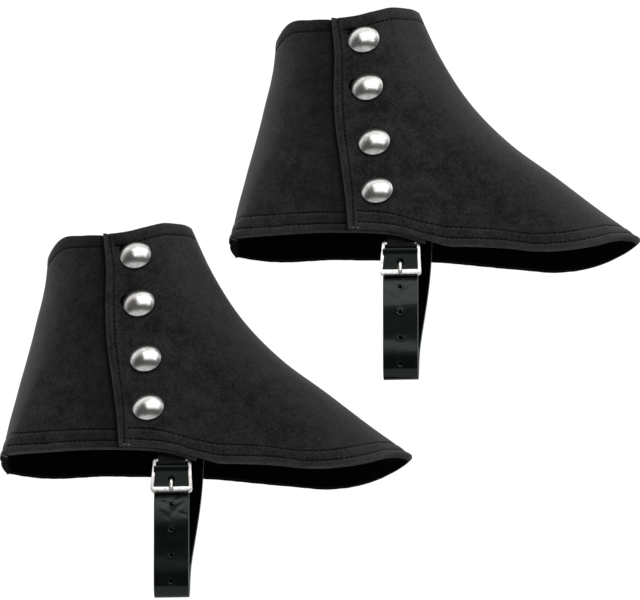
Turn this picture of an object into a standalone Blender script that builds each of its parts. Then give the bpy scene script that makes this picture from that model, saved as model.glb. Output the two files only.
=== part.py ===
"""A pair of felt spats: each is a hollow ankle cover of three panels, lapped and snapped on its outer side,
with a leather strap that buckles under the foot. Metres, +Z up, toes towards +X, outer side towards -Y.
The world origin is the middle of the lower spat's ankle opening, where the wearer's leg holds it.
"""

from collections import namedtuple
from math import cos, pi, radians, sin, sqrt

import bmesh
import bpy
import numpy as np
from mathutils import Matrix, Vector

# Placing of the pair, each as it is held, in one plane.
ANKLE_CENTRE = Vector((0.0, 0.006, 0.130))
PAIR = (("lower", Vector((0.0, 0.0, 0.0))), ("upper", Vector((0.1268, 0.0, 0.1247))))

# Cloth.
FELT = 0.0020
TURNED_LAYER = 0.0016
PIECE_GAP = 0.0003
SEAM_GAP = 0.00036
SEWN_GAP = 0.00048
TOP_TURN = 0.008
HEM_TURN = 0.012
TURN_SLOPE = 0.0012
UNDERLAP_TOP = 0.029
UNDERLAP_HEM = 0.043
RAMP_START = 0.0015
LAP_RAMP = 0.014

# One row for each level of the spat, from the top edge (0) to the hem (1), along the back and front seams.
# back and front: where the level meets the seams. seams: how deep the two seams lie.
# back_round, front_round: length of the round ends. lap: the edge of the front panel on the outer side.
Section = namedtuple("Section", "level back_x back_z front_x front_z seams back_round front_round lap")
SECTIONS = (
    Section(0.00, -0.0406, 0.1225, 0.0400, 0.1388, 0.0090, 0.034, 0.036, -0.0085),
    Section(0.15, -0.0420, 0.1065, 0.0514, 0.1125, 0.0080, 0.030, 0.034, -0.0066),
    Section(0.33, -0.0464, 0.0848, 0.0689, 0.0830, 0.0060, 0.024, 0.032, -0.0066),
    Section(0.50, -0.0510, 0.0642, 0.0907, 0.0585, 0.0035, 0.019, 0.032, -0.0054),
    Section(0.67, -0.0560, 0.0435, 0.1158, 0.0378, 0.0010, 0.014, 0.034, -0.0027),
    Section(0.85, -0.0616, 0.0198, 0.1416, 0.0160, -0.0015, 0.010, 0.037, 0.0003),
    Section(1.00, -0.0655, 0.0000, 0.1629, -0.0009, -0.0040, 0.0025, 0.040, 0.0020),
)

# How deep the outer and inner walls stand from the seams' plane, at the top edge and the hem.
Depth = namedtuple("Depth", "share outer_top outer_hem inner_top inner_hem")
DEPTHS = (
    Depth(0.00, 0.0240, 0.0150, 0.0240, 0.0180),
    Depth(0.06, 0.0235, 0.0220, 0.0240, 0.0190),
    Depth(0.14, 0.0230, 0.0270, 0.0240, 0.0196),
    Depth(0.26, 0.0222, 0.0295, 0.0235, 0.0198),
    Depth(0.42, 0.0215, 0.0285, 0.0225, 0.0190),
    Depth(0.56, 0.0205, 0.0245, 0.0215, 0.0180),
    Depth(0.80, 0.0185, 0.0225, 0.0195, 0.0175),
    Depth(1.00, 0.0175, 0.0215, 0.0185, 0.0165),
)

# How far the top edge and the hem leave the straight line between the seams, at shares of the way forward.
Edge = namedtuple("Edge", "share top outer_hem inner_hem")
EDGES = (
    Edge(0.00, 0.0000, 0.0000, 0.0000),
    Edge(0.08, 0.0047, -0.0014, -0.0030),
    Edge(0.26, 0.0028, -0.0017, -0.0026),
    Edge(0.42, -0.0002, -0.0040, -0.0041),
    Edge(0.50, -0.0010, -0.0088, -0.0053),
    Edge(0.58, -0.0010, -0.0098, -0.0070),
    Edge(0.68, -0.0002, -0.0101, -0.0098),
    Edge(0.80, 0.0012, -0.0120, -0.0125),
    Edge(0.90, 0.0011, -0.0076, -0.0091),
    Edge(0.95, 0.0010, -0.0030, -0.0051),
    Edge(1.00, 0.0000, 0.0000, 0.0000),
)
TOP_FADE = 4.0
HEM_FADE = 3.0

# Soft dents (minus) and swells (plus) of the worn cloth: place round the level (-1 to 0 outer side, 0 to 1
# inner side, 0 at the back), level, spread each way, and height.
Fold = namedtuple("Fold", "around level round_spread level_spread height")
FOLDS = (
    Fold(-0.34, 0.45, 0.060, 0.26, -0.0016),
    Fold(-0.56, 0.46, 0.060, 0.06, -0.0012),
    Fold(-0.55, 0.70, 0.060, 0.06, -0.0010),
    Fold(-0.57, 0.98, 0.040, 0.14, 0.0018),
    Fold(-0.66, 0.95, 0.030, 0.12, -0.0010),
    Fold(-0.20, 0.72, 0.070, 0.12, 0.0012),
    Fold(0.36, 0.40, 0.070, 0.24, -0.0015),
    Fold(0.58, 0.97, 0.045, 0.15, 0.0015),
    Fold(0.24, 0.75, 0.070, 0.12, 0.0010),
)

# Snap buttons: the level of each and its distance from the lap's edge, and the shape of its domed cap.
Button = namedtuple("Button", "level from_lap")
BUTTONS = (
    Button(0.106, 0.0165),
    Button(0.311, 0.0182),
    Button(0.577, 0.0200),
    Button(0.817, 0.0179),
)
CAP_RADIUS = 0.0088
CAP_RIM = 0.0007
CAP_RISE = 0.0034
SHANK_RADIUS = 0.0030
SHANK_HEIGHT = 0.0004
CAP_SEGMENTS = 20
DOME_STEPS = 4

# Strap, its holes, the tab that holds the buckle, and the buckle.
STRAP_X = 0.0305
STRAP_WIDTH = 0.0195
STRAP_THICKNESS = 0.0022
STRAP_SEWN = 0.0105
STRAP_DROP = 0.0758
STRAP_LEAN = 0.0062
HOLE_COUNT = 5
HOLE_PITCH = 0.015
HOLE_RADIUS = 0.0014
FIRST_HOLE_RADIUS = 0.0019
FIRST_HOLE_FROM_END = 0.0080
TAB_WIDTH = 0.0146
TAB_THICKNESS = 0.0012
TAB_SLOT = 0.0032
WIRE = 0.0016
LOWER_BAR = 0.0028
FRAME_DEPTH = 0.0026
FRAME_INNER_WIDTH = 0.0201
FRAME_BARS_APART = 0.0182
FRAME_CORNER = 0.0022
HINGE_BELOW_HEM = 0.0020
PRONG_RADIUS = 0.00075


def curve(knots, values, at):
    """A smooth curve that meets each value at its knot, read at any places."""
    knots = np.asarray(knots, float)
    at = np.asarray(at, float)
    rows = np.stack(np.broadcast_arrays(*values, at)[:-1])
    step = np.diff(knots)
    widths = step.reshape(-1, *[1] * at.ndim)
    rise = np.diff(rows, axis=0) / widths
    inner = (rise[1:] * widths[:-1] + rise[:-1] * widths[1:]) / (widths[1:] + widths[:-1])
    slope = np.concatenate([rise[:1], inner, rise[-1:]])
    low = np.clip(np.searchsorted(knots, at, side="right") - 1, 0, len(step) - 1)

    def pick(table, index):
        return np.take_along_axis(table, index[None], 0)[0]

    width = step[low]
    s = (at - knots[low]) / width
    return (
        pick(rows, low) * (1 + 2 * s) * (1 - s) ** 2
        + pick(rows, low + 1) * s * s * (3 - 2 * s)
        + width * s * (1 - s) * (pick(slope, low) * (1 - s) - pick(slope, low + 1) * s)
    )


def section(column, level):
    """A column of the section table, read smoothly at any level."""
    levels = [row.level for row in SECTIONS]
    return curve(levels, [getattr(row, column) for row in SECTIONS], level)


def edge(column, share):
    """A column of the edge table, read smoothly at any share of the way forward."""
    return curve([row.share for row in EDGES], [getattr(row, column) for row in EDGES], share)


def depth(column, share):
    """A column of the depth table, read smoothly at any share of the way forward."""
    return curve([row.share for row in DEPTHS], [getattr(row, column) for row in DEPTHS], share)


def eased(share):
    share = np.clip(share, 0.0, 1.0)
    return share * share * (3 - 2 * share)


def round_end(distance, length):
    """How far a round end has opened, from 0 at its tip to 1 where it is done."""
    rest = 1 - np.clip(distance / length, 0.0, 1.0)
    return np.sqrt(1 - rest * rest)


def cloth_face(around, level):
    """Points on the outer face of the body cloth. around runs from -1 at the front seam over the outer side
    to 0 at the back seam and on over the inner side to 1; level runs from 0 at the top to 1 at the hem."""
    around, level = np.broadcast_arrays(np.asarray(around, float), np.asarray(level, float))
    share = (1 - np.cos(pi * around)) / 2
    side = np.where(np.sin(pi * around) < 0, -1.0, 1.0)
    back_x, front_x = section("back_x", level), section("front_x", level)
    length = front_x - back_x
    x = back_x + share * length
    hem = np.where(side < 0, edge("outer_hem", share), edge("inner_hem", share))
    z = (
        section("back_z", level) * (1 - share)
        + section("front_z", level) * share
        + edge("top", share) * np.clip(1 - level, 0, 1) ** TOP_FADE
        + hem * np.clip(level, 0, None) ** HEM_FADE
    )
    outer = depth("outer_top", share) * (1 - level) + depth("outer_hem", share) * level
    inner = depth("inner_top", share) * (1 - level) + depth("inner_hem", share) * level
    half = np.where(side < 0, outer, inner)
    for fold in FOLDS:
        across = (around - fold.around) / fold.round_spread
        down = (level - fold.level) / fold.level_spread
        half = half + fold.height * np.exp(-(across**2) - down**2)
    half = half * round_end(share * length, section("back_round", level))
    half = half * round_end((1 - share) * length, section("front_round", level))
    return np.stack([x, section("seams", level) + side * half, z], -1)


def cloth_normal(around, level):
    """Unit vectors out of the cloth."""
    small = 1e-4
    along = cloth_face(around + small, level) - cloth_face(around - small, level)
    down = cloth_face(around, level + small) - cloth_face(around, level - small)
    out = np.cross(along, down)
    return out / np.linalg.norm(out, axis=-1, keepdims=True)


def cloth_point(around, level, out):
    """Points at a distance out of the body cloth's outer face (minus is inwards)."""
    out = np.asarray(out, float)
    return cloth_face(around, level) + cloth_normal(around, level) * out[..., None]


def drop_length(around):
    """Length of the cloth from the top edge to the hem."""
    levels = np.linspace(0, 1, 13).reshape(-1, *[1] * np.ndim(around))
    line = cloth_face(np.asarray(around)[None], levels)
    return np.linalg.norm(np.diff(line, axis=0), axis=-1).sum(0)


def around_at_x(x, level, side):
    """Where a level passes a place along the foot, on the outer (-1) or inner (1) side."""
    back_x = section("back_x", level)
    share = (x - back_x) / (section("front_x", level) - back_x)
    return side * np.arccos(np.clip(1 - 2 * share, -1, 1)) / pi


def seam_trim(around, level):
    """The step round the level that leaves half the seam's gap."""
    small = 1e-4
    stretch = np.linalg.norm(cloth_face(around + small, level) - cloth_face(around, level), axis=-1) / small
    return SEAM_GAP / 2 / stretch


def back_seam(level, side):
    return side * seam_trim(np.zeros_like(level), level)


def front_seam(level, side):
    return side * (1 - seam_trim(np.ones_like(level), level))


def lap_edge(level):
    return around_at_x(section("lap", level), level, -1)


def underlap_width(level):
    return UNDERLAP_TOP + (UNDERLAP_HEM - UNDERLAP_TOP) * level


def underlap_edge(level):
    return around_at_x(section("lap", level) + underlap_width(level), level, -1)


def lift_over_lap(around, level):
    """How far the front panel stands out, to lie over the back panel's underlap."""
    share = (1 - np.cos(pi * around)) / 2
    back_x = section("back_x", level)
    x = back_x + share * (section("front_x", level) - back_x)
    past = x - section("lap", level) - underlap_width(level)
    return (FELT + PIECE_GAP) * (1 - eased((past - RAMP_START) / LAP_RAMP))


def turned_layer(level, drop):
    """Thickness of the turned-in layer at the top edge and the hem."""
    from_top, from_hem = level * drop, (1 - level) * drop
    at_top = 1 - eased((from_top - TOP_TURN) / TURN_SLOPE)
    at_hem = 1 - eased((from_hem - HEM_TURN) / TURN_SLOPE)
    return TURNED_LAYER * np.maximum(at_top, at_hem)


def panel_rows(drop, middle_rows):
    """Levels of the rows of a panel, with a row on each side of the turned-in layers' steps."""
    top = (0.0, TOP_TURN, TOP_TURN + TURN_SLOPE)
    hem = (HEM_TURN + TURN_SLOPE, HEM_TURN, 0.0)
    first, last = top[-1] / drop, 1 - hem[0] / drop
    middle = [first + (last - first) * k / middle_rows for k in range(1, middle_rows)]
    return [d / drop for d in top] + middle + [1 - d / drop for d in hem]


def material(name, colour, roughness, metallic=0.0):
    made = bpy.data.materials.new(name)
    made.use_nodes = True
    shader = made.node_tree.nodes["Principled BSDF"]
    shader.inputs["Base Color"].default_value = (*colour, 1.0)
    shader.inputs["Roughness"].default_value = roughness
    shader.inputs["Metallic"].default_value = metallic
    return made


def add_object(name, mesh_bm, finish, home, smooth_angle=radians(40)):
    """A named object from a bmesh, with its finish, set on the empty that carries its spat."""
    bmesh.ops.recalc_face_normals(mesh_bm, faces=mesh_bm.faces[:])
    mesh = bpy.data.meshes.new(name)
    mesh_bm.to_mesh(mesh)
    mesh_bm.free()
    mesh.materials.append(finish)
    mesh.shade_smooth()
    mesh.set_sharp_from_angle(angle=smooth_angle)
    made = bpy.data.objects.new(name, mesh)
    bpy.context.scene.collection.objects.link(made)
    made.parent = home
    return made


def slab(columns, rows, outer, inner):
    """A closed wall from a grid: outer and inner turn two arrays of shares (across, down) into points."""
    bm = bmesh.new()
    bmesh.ops.create_grid(bm, x_segments=columns, y_segments=rows, size=0.5)
    bmesh.ops.extrude_face_region(bm, geom=bm.faces[:], use_keep_orig=True)
    shares = np.array([(v.co.x + 0.5, v.co.y + 0.5) for v in bm.verts])
    front = len(bm.verts) // 2
    faces = (outer, slice(0, front)), (inner, slice(front, None))
    for shape, part in faces:
        points = shape(shares[part, 0], shares[part, 1])
        for vertex, point in zip(list(bm.verts)[part], points):
            vertex.co = Vector(point)
    return bm


def panel(columns, middle_rows, start, end, lift, turned):
    """A panel of cloth between two edges, each a function of the level, as a closed wall."""
    row_count = middle_rows + 4

    def places(across, down):
        guess = start(down) + (end(down) - start(down)) * across
        drop = drop_length(guess)
        row = np.round(down * row_count).astype(int)
        level = np.choose(row, panel_rows(drop, middle_rows))
        return start(level) + (end(level) - start(level)) * across, level

    def outer(across, down):
        around, level = places(across, down)
        return cloth_point(around, level, lift(around, level))

    def inner(across, down):
        around, level = places(across, down)
        raised = lift(around, level)
        layers = FELT + turned(around, level) * turned_layer(level, drop_length(around))
        return cloth_point(around, level, raised - layers)

    return slab(columns, row_count, outer, inner)


def build_panels(name, home, felt):
    """The outer back, outer front and inner panels of one spat."""

    def flat(around, level):
        return np.zeros_like(level)

    def whole(around, level):
        return np.ones_like(level)

    def clear_of_lap(around, level):
        return 1 - lift_over_lap(around, level) / (FELT + PIECE_GAP)

    back = panel(15, 8, lambda v: back_seam(v, -1), underlap_edge, flat, whole)
    front = panel(24, 8, lap_edge, lambda v: front_seam(v, -1), lift_over_lap, clear_of_lap)
    inner = panel(30, 8, lambda v: back_seam(v, 1), lambda v: front_seam(v, 1), flat, whole)
    add_object(f"{name}_back_panel", back, felt, home)
    add_object(f"{name}_front_panel", front, felt, home)
    add_object(f"{name}_inner_panel", inner, felt, home)


def turned_shape(profile, segments):
    """A solid turned round +Z from a profile of (radius, height) that starts and ends on the axis."""
    bm = bmesh.new()
    corners = [bm.verts.new((radius, 0.0, height)) for radius, height in profile]
    edges = [bm.edges.new(pair) for pair in zip(corners, corners[1:])]
    bmesh.ops.spin(
        bm,
        geom=corners + edges,
        axis=(0, 0, 1),
        cent=(0, 0, 0),
        angle=2 * pi,
        steps=segments,
        use_merge=True,
    )
    bmesh.ops.remove_doubles(bm, verts=bm.verts[:], dist=1e-6)
    return bm


def cap_profile():
    """A domed snap cap: shank, underside, rim and dome."""
    sphere = (CAP_RADIUS**2 + CAP_RISE**2) / (2 * CAP_RISE)
    rim = SHANK_HEIGHT + CAP_RIM
    profile = [(0, 0), (SHANK_RADIUS, 0), (SHANK_RADIUS, SHANK_HEIGHT), (CAP_RADIUS - CAP_RIM, SHANK_HEIGHT)]
    for k in range(DOME_STEPS):
        radius = CAP_RADIUS * cos(pi / 2 * k / DOME_STEPS)
        profile.append((radius, rim + CAP_RISE - sphere + sqrt(sphere**2 - radius**2)))
    return profile + [(0, rim + CAP_RISE)]


def build_buttons(name, home, metal):
    """The four snap caps, seated on the front panel."""
    for number, button in enumerate(BUTTONS, 1):
        level = np.array(button.level)
        around = around_at_x(section("lap", level) + button.from_lap, level, -1)
        out = Vector(cloth_normal(around, level))
        seat = Vector(cloth_point(around, level, lift_over_lap(around, level) + PIECE_GAP))
        cap = add_object(f"{name}_button_{number}", turned_shape(cap_profile(), CAP_SEGMENTS), metal, home)
        cap.matrix_local = Matrix.Translation(seat) @ out.to_track_quat("Z", "Y").to_matrix().to_4x4()


def inside_hem(side, x, z, out):
    """Depth of the inside of the cloth, near the hem, at a place along the foot and a height."""
    level = np.ones_like(z)
    for _ in range(6):
        point = cloth_point(around_at_x(x, level, side), level, out)
        level = level - (z - point[..., 2]) / drop_length(around_at_x(x, level, side))
    return cloth_point(around_at_x(x, level, side), level, out)[..., 1]


def ribbon(width, thickness, path, segments, across_steps, hang, lean=None):
    """A flat band along a path of (depth, height), as wide as stated along the foot. hang moves its points
    in depth, so that a sewn end follows the cloth. lean moves them along the foot."""
    path = np.array(path)
    gone = np.concatenate([[0], np.cumsum(np.linalg.norm(np.diff(path, axis=0), axis=1))])
    share = gone / gone[-1]

    def on_path(at):
        return np.stack([curve(share, path[:, 0], at), curve(share, path[:, 1], at)], -1)

    def face(out):
        def points(across, along):
            small = 1e-4
            line = on_path(along)
            run = on_path(along + small) - on_path(along - small)
            run = run / np.linalg.norm(run, axis=1, keepdims=True)
            line = line + out * np.stack([run[:, 1], -run[:, 0]], -1)
            x = STRAP_X + (across - 0.5) * width + (lean(along) if lean else 0.0)
            return np.stack([x, line[:, 0] + hang(x, line), line[:, 1]], -1)

        return points

    return slab(across_steps, segments, face(thickness / 2), face(-thickness / 2))


def build_strap_and_buckle(name, home, leather, plain_leather, metal):
    """The strap under the foot, with the tab, frame and prong that close it on the outer side."""
    here = np.array(STRAP_X)
    lining = -(FELT + TURNED_LAYER + SEWN_GAP)
    tab_edge = here + TAB_WIDTH / 2
    hem = np.array(1.0)
    near_hem = float(cloth_point(around_at_x(tab_edge, hem, -1), hem, lining)[2])
    far_hem = float(cloth_point(around_at_x(here, hem, 1), hem, lining)[2])
    tab_y = float(inside_hem(-1, here, np.array(near_hem), lining)) + TAB_THICKNESS
    far_y = float(inside_hem(1, here, np.array(far_hem), lining)) - STRAP_THICKNESS / 2
    loop = sqrt((WIRE / 2) ** 2 + (FRAME_DEPTH / 2) ** 2) + PIECE_GAP + TAB_THICKNESS / 2
    outer_leaf = tab_y - TAB_THICKNESS / 2
    inner_leaf = outer_leaf + TAB_THICKNESS + PIECE_GAP
    hinge = Vector((outer_leaf + loop, near_hem - HINGE_BELOW_HEM))
    foot = hinge.y - FRAME_BARS_APART
    behind_bar = hinge.x + FRAME_DEPTH / 2 + PIECE_GAP + STRAP_THICKNESS / 2

    # From the sewn end inside the inner panel, down, under the foot, up behind the lower bar, to the free end.
    near_y = behind_bar - 0.0012
    low = hinge.y - STRAP_DROP
    path = [
        (far_y, far_hem + STRAP_SEWN),
        (far_y, far_hem + 0.002),
        (far_y - 0.0008, far_hem - 0.012),
        (far_y - 0.0042, far_hem - 0.028),
        (far_y - 0.0105, far_hem - 0.045),
        (far_y - 0.0190, far_hem - 0.062),
        (near_y + 0.0112, low + 0.0070),
        (near_y + 0.0080, low + 0.0016),
        (near_y + 0.0045, low),
        (near_y + 0.0012, low + 0.0022),
        (near_y, low + 0.0072),
        (near_y + 0.0002, low + 0.0220),
        (near_y + 0.0008, low + 0.0380),
        (behind_bar - 0.0002, foot - 0.0060),
        (behind_bar, foot - 0.0010),
        (behind_bar + 0.0001, foot + 0.0024),
        (hinge.x + 0.0004, foot + 0.0078),
        (hinge.x - 0.0011, foot + 0.0116),
        (hinge.x - 0.0015, hinge.y - 0.0034),
    ]

    def lean(along):
        return STRAP_LEAN * (1 - eased(along / 0.5))

    def follow_inner(x, line):
        near = eased((line[:, 1] - far_hem + 0.02) / 0.02) * (line[:, 0] > 0)
        height = np.maximum(line[:, 1], far_hem)
        at_middle = inside_hem(1, here, np.array(far_hem), lining)
        return near * (inside_hem(1, x, height, lining) - at_middle)

    band = add_object(
        f"{name}_strap",
        ribbon(STRAP_WIDTH, STRAP_THICKNESS, path, 36, 2, follow_inner, lean),
        leather,
        home,
    )
    punch_holes(band, name, home, path)

    # The tab: two layers sewn inside the hem, round the upper bar.
    top = near_hem + STRAP_SEWN
    turn = [(hinge.x - loop * cos(a), hinge.y - loop * sin(a)) for a in np.linspace(0.0, pi, 9)]
    tab_path = (
        [(outer_leaf, top), (outer_leaf, near_hem + 0.004), (outer_leaf, near_hem)]
        + turn
        + [(inner_leaf, near_hem + 0.0045), (inner_leaf, near_hem + 0.007), (inner_leaf, top)]
    )

    def follow_outer(x, line):
        near = eased((line[:, 1] - hinge.y) / (near_hem - hinge.y))
        height = np.maximum(line[:, 1], near_hem)
        at_middle = inside_hem(-1, here, np.array(near_hem), lining)
        return near * (inside_hem(-1, x, height, lining) - at_middle)

    tab = add_object(
        f"{name}_buckle_tab",
        ribbon(TAB_WIDTH, TAB_THICKNESS, tab_path, 22, 3, follow_outer),
        plain_leather,
        home,
    )
    cut_slot(tab, name, home, hinge, loop)
    build_frame(name, home, metal, hinge)
    build_prong(name, home, metal, hinge, foot)


def cutter(name, mesh_bm, target, home):
    """A hidden shape cut out of its target."""
    mesh = bpy.data.meshes.new(name)
    bmesh.ops.recalc_face_normals(mesh_bm, faces=mesh_bm.faces[:])
    mesh_bm.to_mesh(mesh)
    mesh_bm.free()
    tool = bpy.data.objects.new(name, mesh)
    bpy.context.scene.collection.objects.link(tool)
    tool.parent = home
    tool.hide_render = True
    tool.display_type = "WIRE"
    cut = target.modifiers.new("cut", "BOOLEAN")
    cut.operation = "DIFFERENCE"
    cut.object = tool


def punch_holes(band, name, home, path):
    """Round holes down the middle of the strap, the first one at the prong."""
    path = np.array(path)
    gone = np.concatenate([[0], np.cumsum(np.linalg.norm(np.diff(path, axis=0), axis=1))])
    bm = bmesh.new()
    for k in range(HOLE_COUNT):
        at = gone[-1] - FIRST_HOLE_FROM_END - k * HOLE_PITCH
        ends = [
            Vector((0, curve(gone, path[:, 0], at + step), curve(gone, path[:, 1], at + step)))
            for step in (-0.001, 0.001)
        ]
        run = (ends[1] - ends[0]).normalized()
        out = Vector((0, run.z, -run.y))
        middle = (ends[0] + ends[1]) / 2 + Vector((STRAP_X, 0, 0))
        radius = HOLE_RADIUS if k else FIRST_HOLE_RADIUS
        turn = Matrix.Translation(middle) @ out.to_track_quat("Z", "Y").to_matrix().to_4x4()
        bmesh.ops.create_cone(
            bm,
            cap_ends=True,
            segments=12,
            radius1=radius,
            radius2=radius,
            depth=STRAP_THICKNESS * 3,
            matrix=turn,
        )
    cutter(f"{name}_hole_cutter", bm, band, home)


def cut_slot(tab, name, home, hinge, loop):
    """The slot in the tab's fold that lets the prong through."""
    bm = bmesh.new()
    size = Vector((TAB_SLOT, loop * 4, loop * 2 + 0.0030))
    place = Matrix.Translation((STRAP_X, hinge.x, hinge.y + 0.0005)) @ Matrix.Diagonal((*size, 1))
    bmesh.ops.create_cube(bm, size=1.0, matrix=place)
    cutter(f"{name}_slot_cutter", bm, tab, home)


def build_frame(name, home, metal, hinge):
    """The rectangular frame, bent from flat wire, with round corners."""
    bm = bmesh.new()
    width, height = FRAME_INNER_WIDTH + 2 * WIRE, FRAME_BARS_APART + WIRE
    signs = (-1, -1), (1, -1), (1, 1), (-1, 1)
    corners = [bm.verts.new((across * width / 2, 0, up * height / 2)) for across, up in signs]
    bm.faces.new(corners)
    bmesh.ops.bevel(
        bm,
        geom=bm.verts[:],
        offset=FRAME_CORNER,
        offset_type="OFFSET",
        segments=3,
        profile=0.5,
        affect="VERTICES",
        material=-1,
    )
    bmesh.ops.inset_region(bm, faces=bm.faces[:], thickness=WIRE, use_even_offset=True, use_boundary=True)
    middle = min(bm.faces, key=lambda f: f.calc_center_median().length)
    bar_top = [v for v in middle.verts if v.co.z < 0]
    bmesh.ops.translate(bm, verts=bar_top, vec=(0, 0, LOWER_BAR - WIRE))
    bmesh.ops.delete(bm, geom=[middle], context="FACES")
    raised = bmesh.ops.extrude_face_region(bm, geom=bm.faces[:], use_keep_orig=True)
    moved = [v for v in raised["geom"] if isinstance(v, bmesh.types.BMVert)]
    bmesh.ops.translate(bm, verts=moved, vec=(0, FRAME_DEPTH, 0))
    bmesh.ops.translate(
        bm, verts=bm.verts[:], vec=(STRAP_X, hinge.x - FRAME_DEPTH / 2, hinge.y - FRAME_BARS_APART / 2)
    )
    frame = add_object(f"{name}_buckle_frame", bm, metal, home)
    rounding = frame.modifiers.new("rounded edges", "BEVEL")
    rounding.width = WIRE * 0.28
    rounding.segments = 1
    rounding.limit_method = "ANGLE"
    rounding.angle_limit = radians(50)


def build_prong(name, home, metal, hinge, foot):
    """The prong: an open eye round the upper bar, and a pin that goes through the strap to the lower bar."""
    eye = sqrt((WIRE / 2) ** 2 + (FRAME_DEPTH / 2) ** 2) + PIECE_GAP + PRONG_RADIUS
    eye_points = [(hinge.x + eye * cos(a), hinge.y + eye * sin(a)) for a in np.linspace(pi + 0.3, 0.0, 9)]
    pin = [
        (hinge.x + eye - 0.0004, hinge.y - 0.0050),
        (hinge.x + 0.0016, hinge.y - 0.0092),
        (hinge.x + 0.0012, hinge.y - 0.0103),
        (hinge.x - 0.0022, hinge.y - 0.0122),
        (hinge.x - 0.0030, foot + 0.0040),
        (hinge.x - FRAME_DEPTH / 2 - PIECE_GAP - PRONG_RADIUS, foot - 0.0008),
    ]
    spine = bpy.data.curves.new(f"{name}_buckle_prong", "CURVE")
    spine.dimensions = "3D"
    spine.bevel_depth = PRONG_RADIUS
    spine.bevel_resolution = 2
    spine.use_fill_caps = True
    line = spine.splines.new("POLY")
    points = eye_points + pin
    line.points.add(len(points) - 1)
    for spot, (y, z) in zip(line.points, points):
        spot.co = (STRAP_X, y, z, 1.0)
    spine.materials.append(metal)
    prong = bpy.data.objects.new(f"{name}_buckle_prong", spine)
    bpy.context.scene.collection.objects.link(prong)
    prong.parent = home


def main():
    for old in list(bpy.data.objects):
        bpy.data.objects.remove(old, do_unlink=True)
    felt = material("black_felt", (0.020, 0.020, 0.021), 0.95)
    leather = material("glossy_leather", (0.012, 0.017, 0.014), 0.22)
    plain_leather = material("plain_leather", (0.010, 0.010, 0.010), 0.7)
    metal = material("nickel", (0.72, 0.70, 0.67), 0.2, 1.0)
    for name, place in PAIR:
        home = bpy.data.objects.new(f"{name}_spat", None)
        bpy.context.scene.collection.objects.link(home)
        home.location = place - ANKLE_CENTRE
        build_panels(name, home, felt)
        build_buttons(name, home, metal)
        build_strap_and_buckle(name, home, leather, plain_leather, metal)


if __name__ == "__main__":
    main()
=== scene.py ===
"""The looks of a pair of black felt spats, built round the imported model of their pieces.

Each spat is an ankle cover of three felt panels, closed on its outer side by four domed snaps, with a leather
strap that buckles under the foot. Metres, +Z up, toes towards +X, outer side towards -Y.
"""

from __future__ import annotations

import logging
import math
from dataclasses import dataclass, field
from enum import Enum
from functools import cached_property
from typing import Any, Callable, Sequence

import bmesh
import bpy
import numpy as np
from mathutils import Matrix, Vector

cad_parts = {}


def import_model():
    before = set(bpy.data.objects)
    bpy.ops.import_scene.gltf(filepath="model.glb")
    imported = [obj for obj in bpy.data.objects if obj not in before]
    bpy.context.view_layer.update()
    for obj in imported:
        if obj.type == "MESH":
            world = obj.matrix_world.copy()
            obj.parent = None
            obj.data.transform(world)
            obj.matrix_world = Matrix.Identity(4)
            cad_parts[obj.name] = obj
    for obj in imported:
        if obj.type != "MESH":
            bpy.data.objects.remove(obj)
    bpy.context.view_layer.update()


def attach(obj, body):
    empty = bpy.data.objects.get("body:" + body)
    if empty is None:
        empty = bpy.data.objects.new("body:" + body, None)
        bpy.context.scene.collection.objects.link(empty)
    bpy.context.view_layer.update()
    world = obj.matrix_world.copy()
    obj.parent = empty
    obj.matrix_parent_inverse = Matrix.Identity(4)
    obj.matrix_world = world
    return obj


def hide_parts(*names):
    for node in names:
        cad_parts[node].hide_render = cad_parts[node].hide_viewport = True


log = logging.getLogger("spats")

Array = np.ndarray
Edge = Callable[[Array], Array]
BODY = "root"
MM = 0.001


def curve(knots: Sequence[float], values: Sequence[Any], at: Any) -> Array:
    """A smooth curve that meets each value at its knot, read at any places.

    Args:
        knots: Rising places of the values.
        values: One number, or one array like at, for each knot.
        at: Where the curve is read.

    Returns:
        The curve's value at each place.
    """
    knots = np.asarray(knots, float)
    at = np.asarray(at, float)
    rows = np.stack(np.broadcast_arrays(*values, at)[:-1])
    step = np.diff(knots)
    widths = step.reshape(-1, *[1] * at.ndim)
    rise = np.diff(rows, axis=0) / widths
    inner = (rise[1:] * widths[:-1] + rise[:-1] * widths[1:]) / (widths[1:] + widths[:-1])
    slope = np.concatenate([rise[:1], inner, rise[-1:]])
    low = np.clip(np.searchsorted(knots, at, side="right") - 1, 0, len(step) - 1)

    def pick(table: Array, index: Array) -> Array:
        """The row of a table that belongs to each place."""
        return np.take_along_axis(table, index[None], 0)[0]

    width = step[low]
    s = (at - knots[low]) / width
    return (
        pick(rows, low) * (1 + 2 * s) * (1 - s) ** 2
        + pick(rows, low + 1) * s * s * (3 - 2 * s)
        + width * s * (1 - s) * (pick(slope, low) * (1 - s) - pick(slope, low + 1) * s)
    )


def eased(share: Any) -> Array:
    """A share from 0 to 1, with a soft start and end."""
    share = np.clip(share, 0.0, 1.0)
    return share * share * (3 - 2 * share)


def bump_at(distance: Any, spread: float) -> Array:
    """A soft round bump of height 1 at distance 0."""
    return np.exp(-((np.asarray(distance) / spread) ** 2))


def waves(place: Array, lengths: Sequence[float], seed: int) -> Array:
    """Uneven waves along a line, between about -1 and 1.

    Args:
        place: Distance along the line.
        lengths: Wave lengths that are added up.
        seed: Picks the phases.

    Returns:
        The height of the waves at each place.
    """
    phases = np.random.default_rng(seed).uniform(0, 2 * math.pi, len(lengths))
    total = sum(np.sin(2 * math.pi * place / length + phase) for length, phase in zip(lengths, phases))
    return total / len(lengths)


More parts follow.
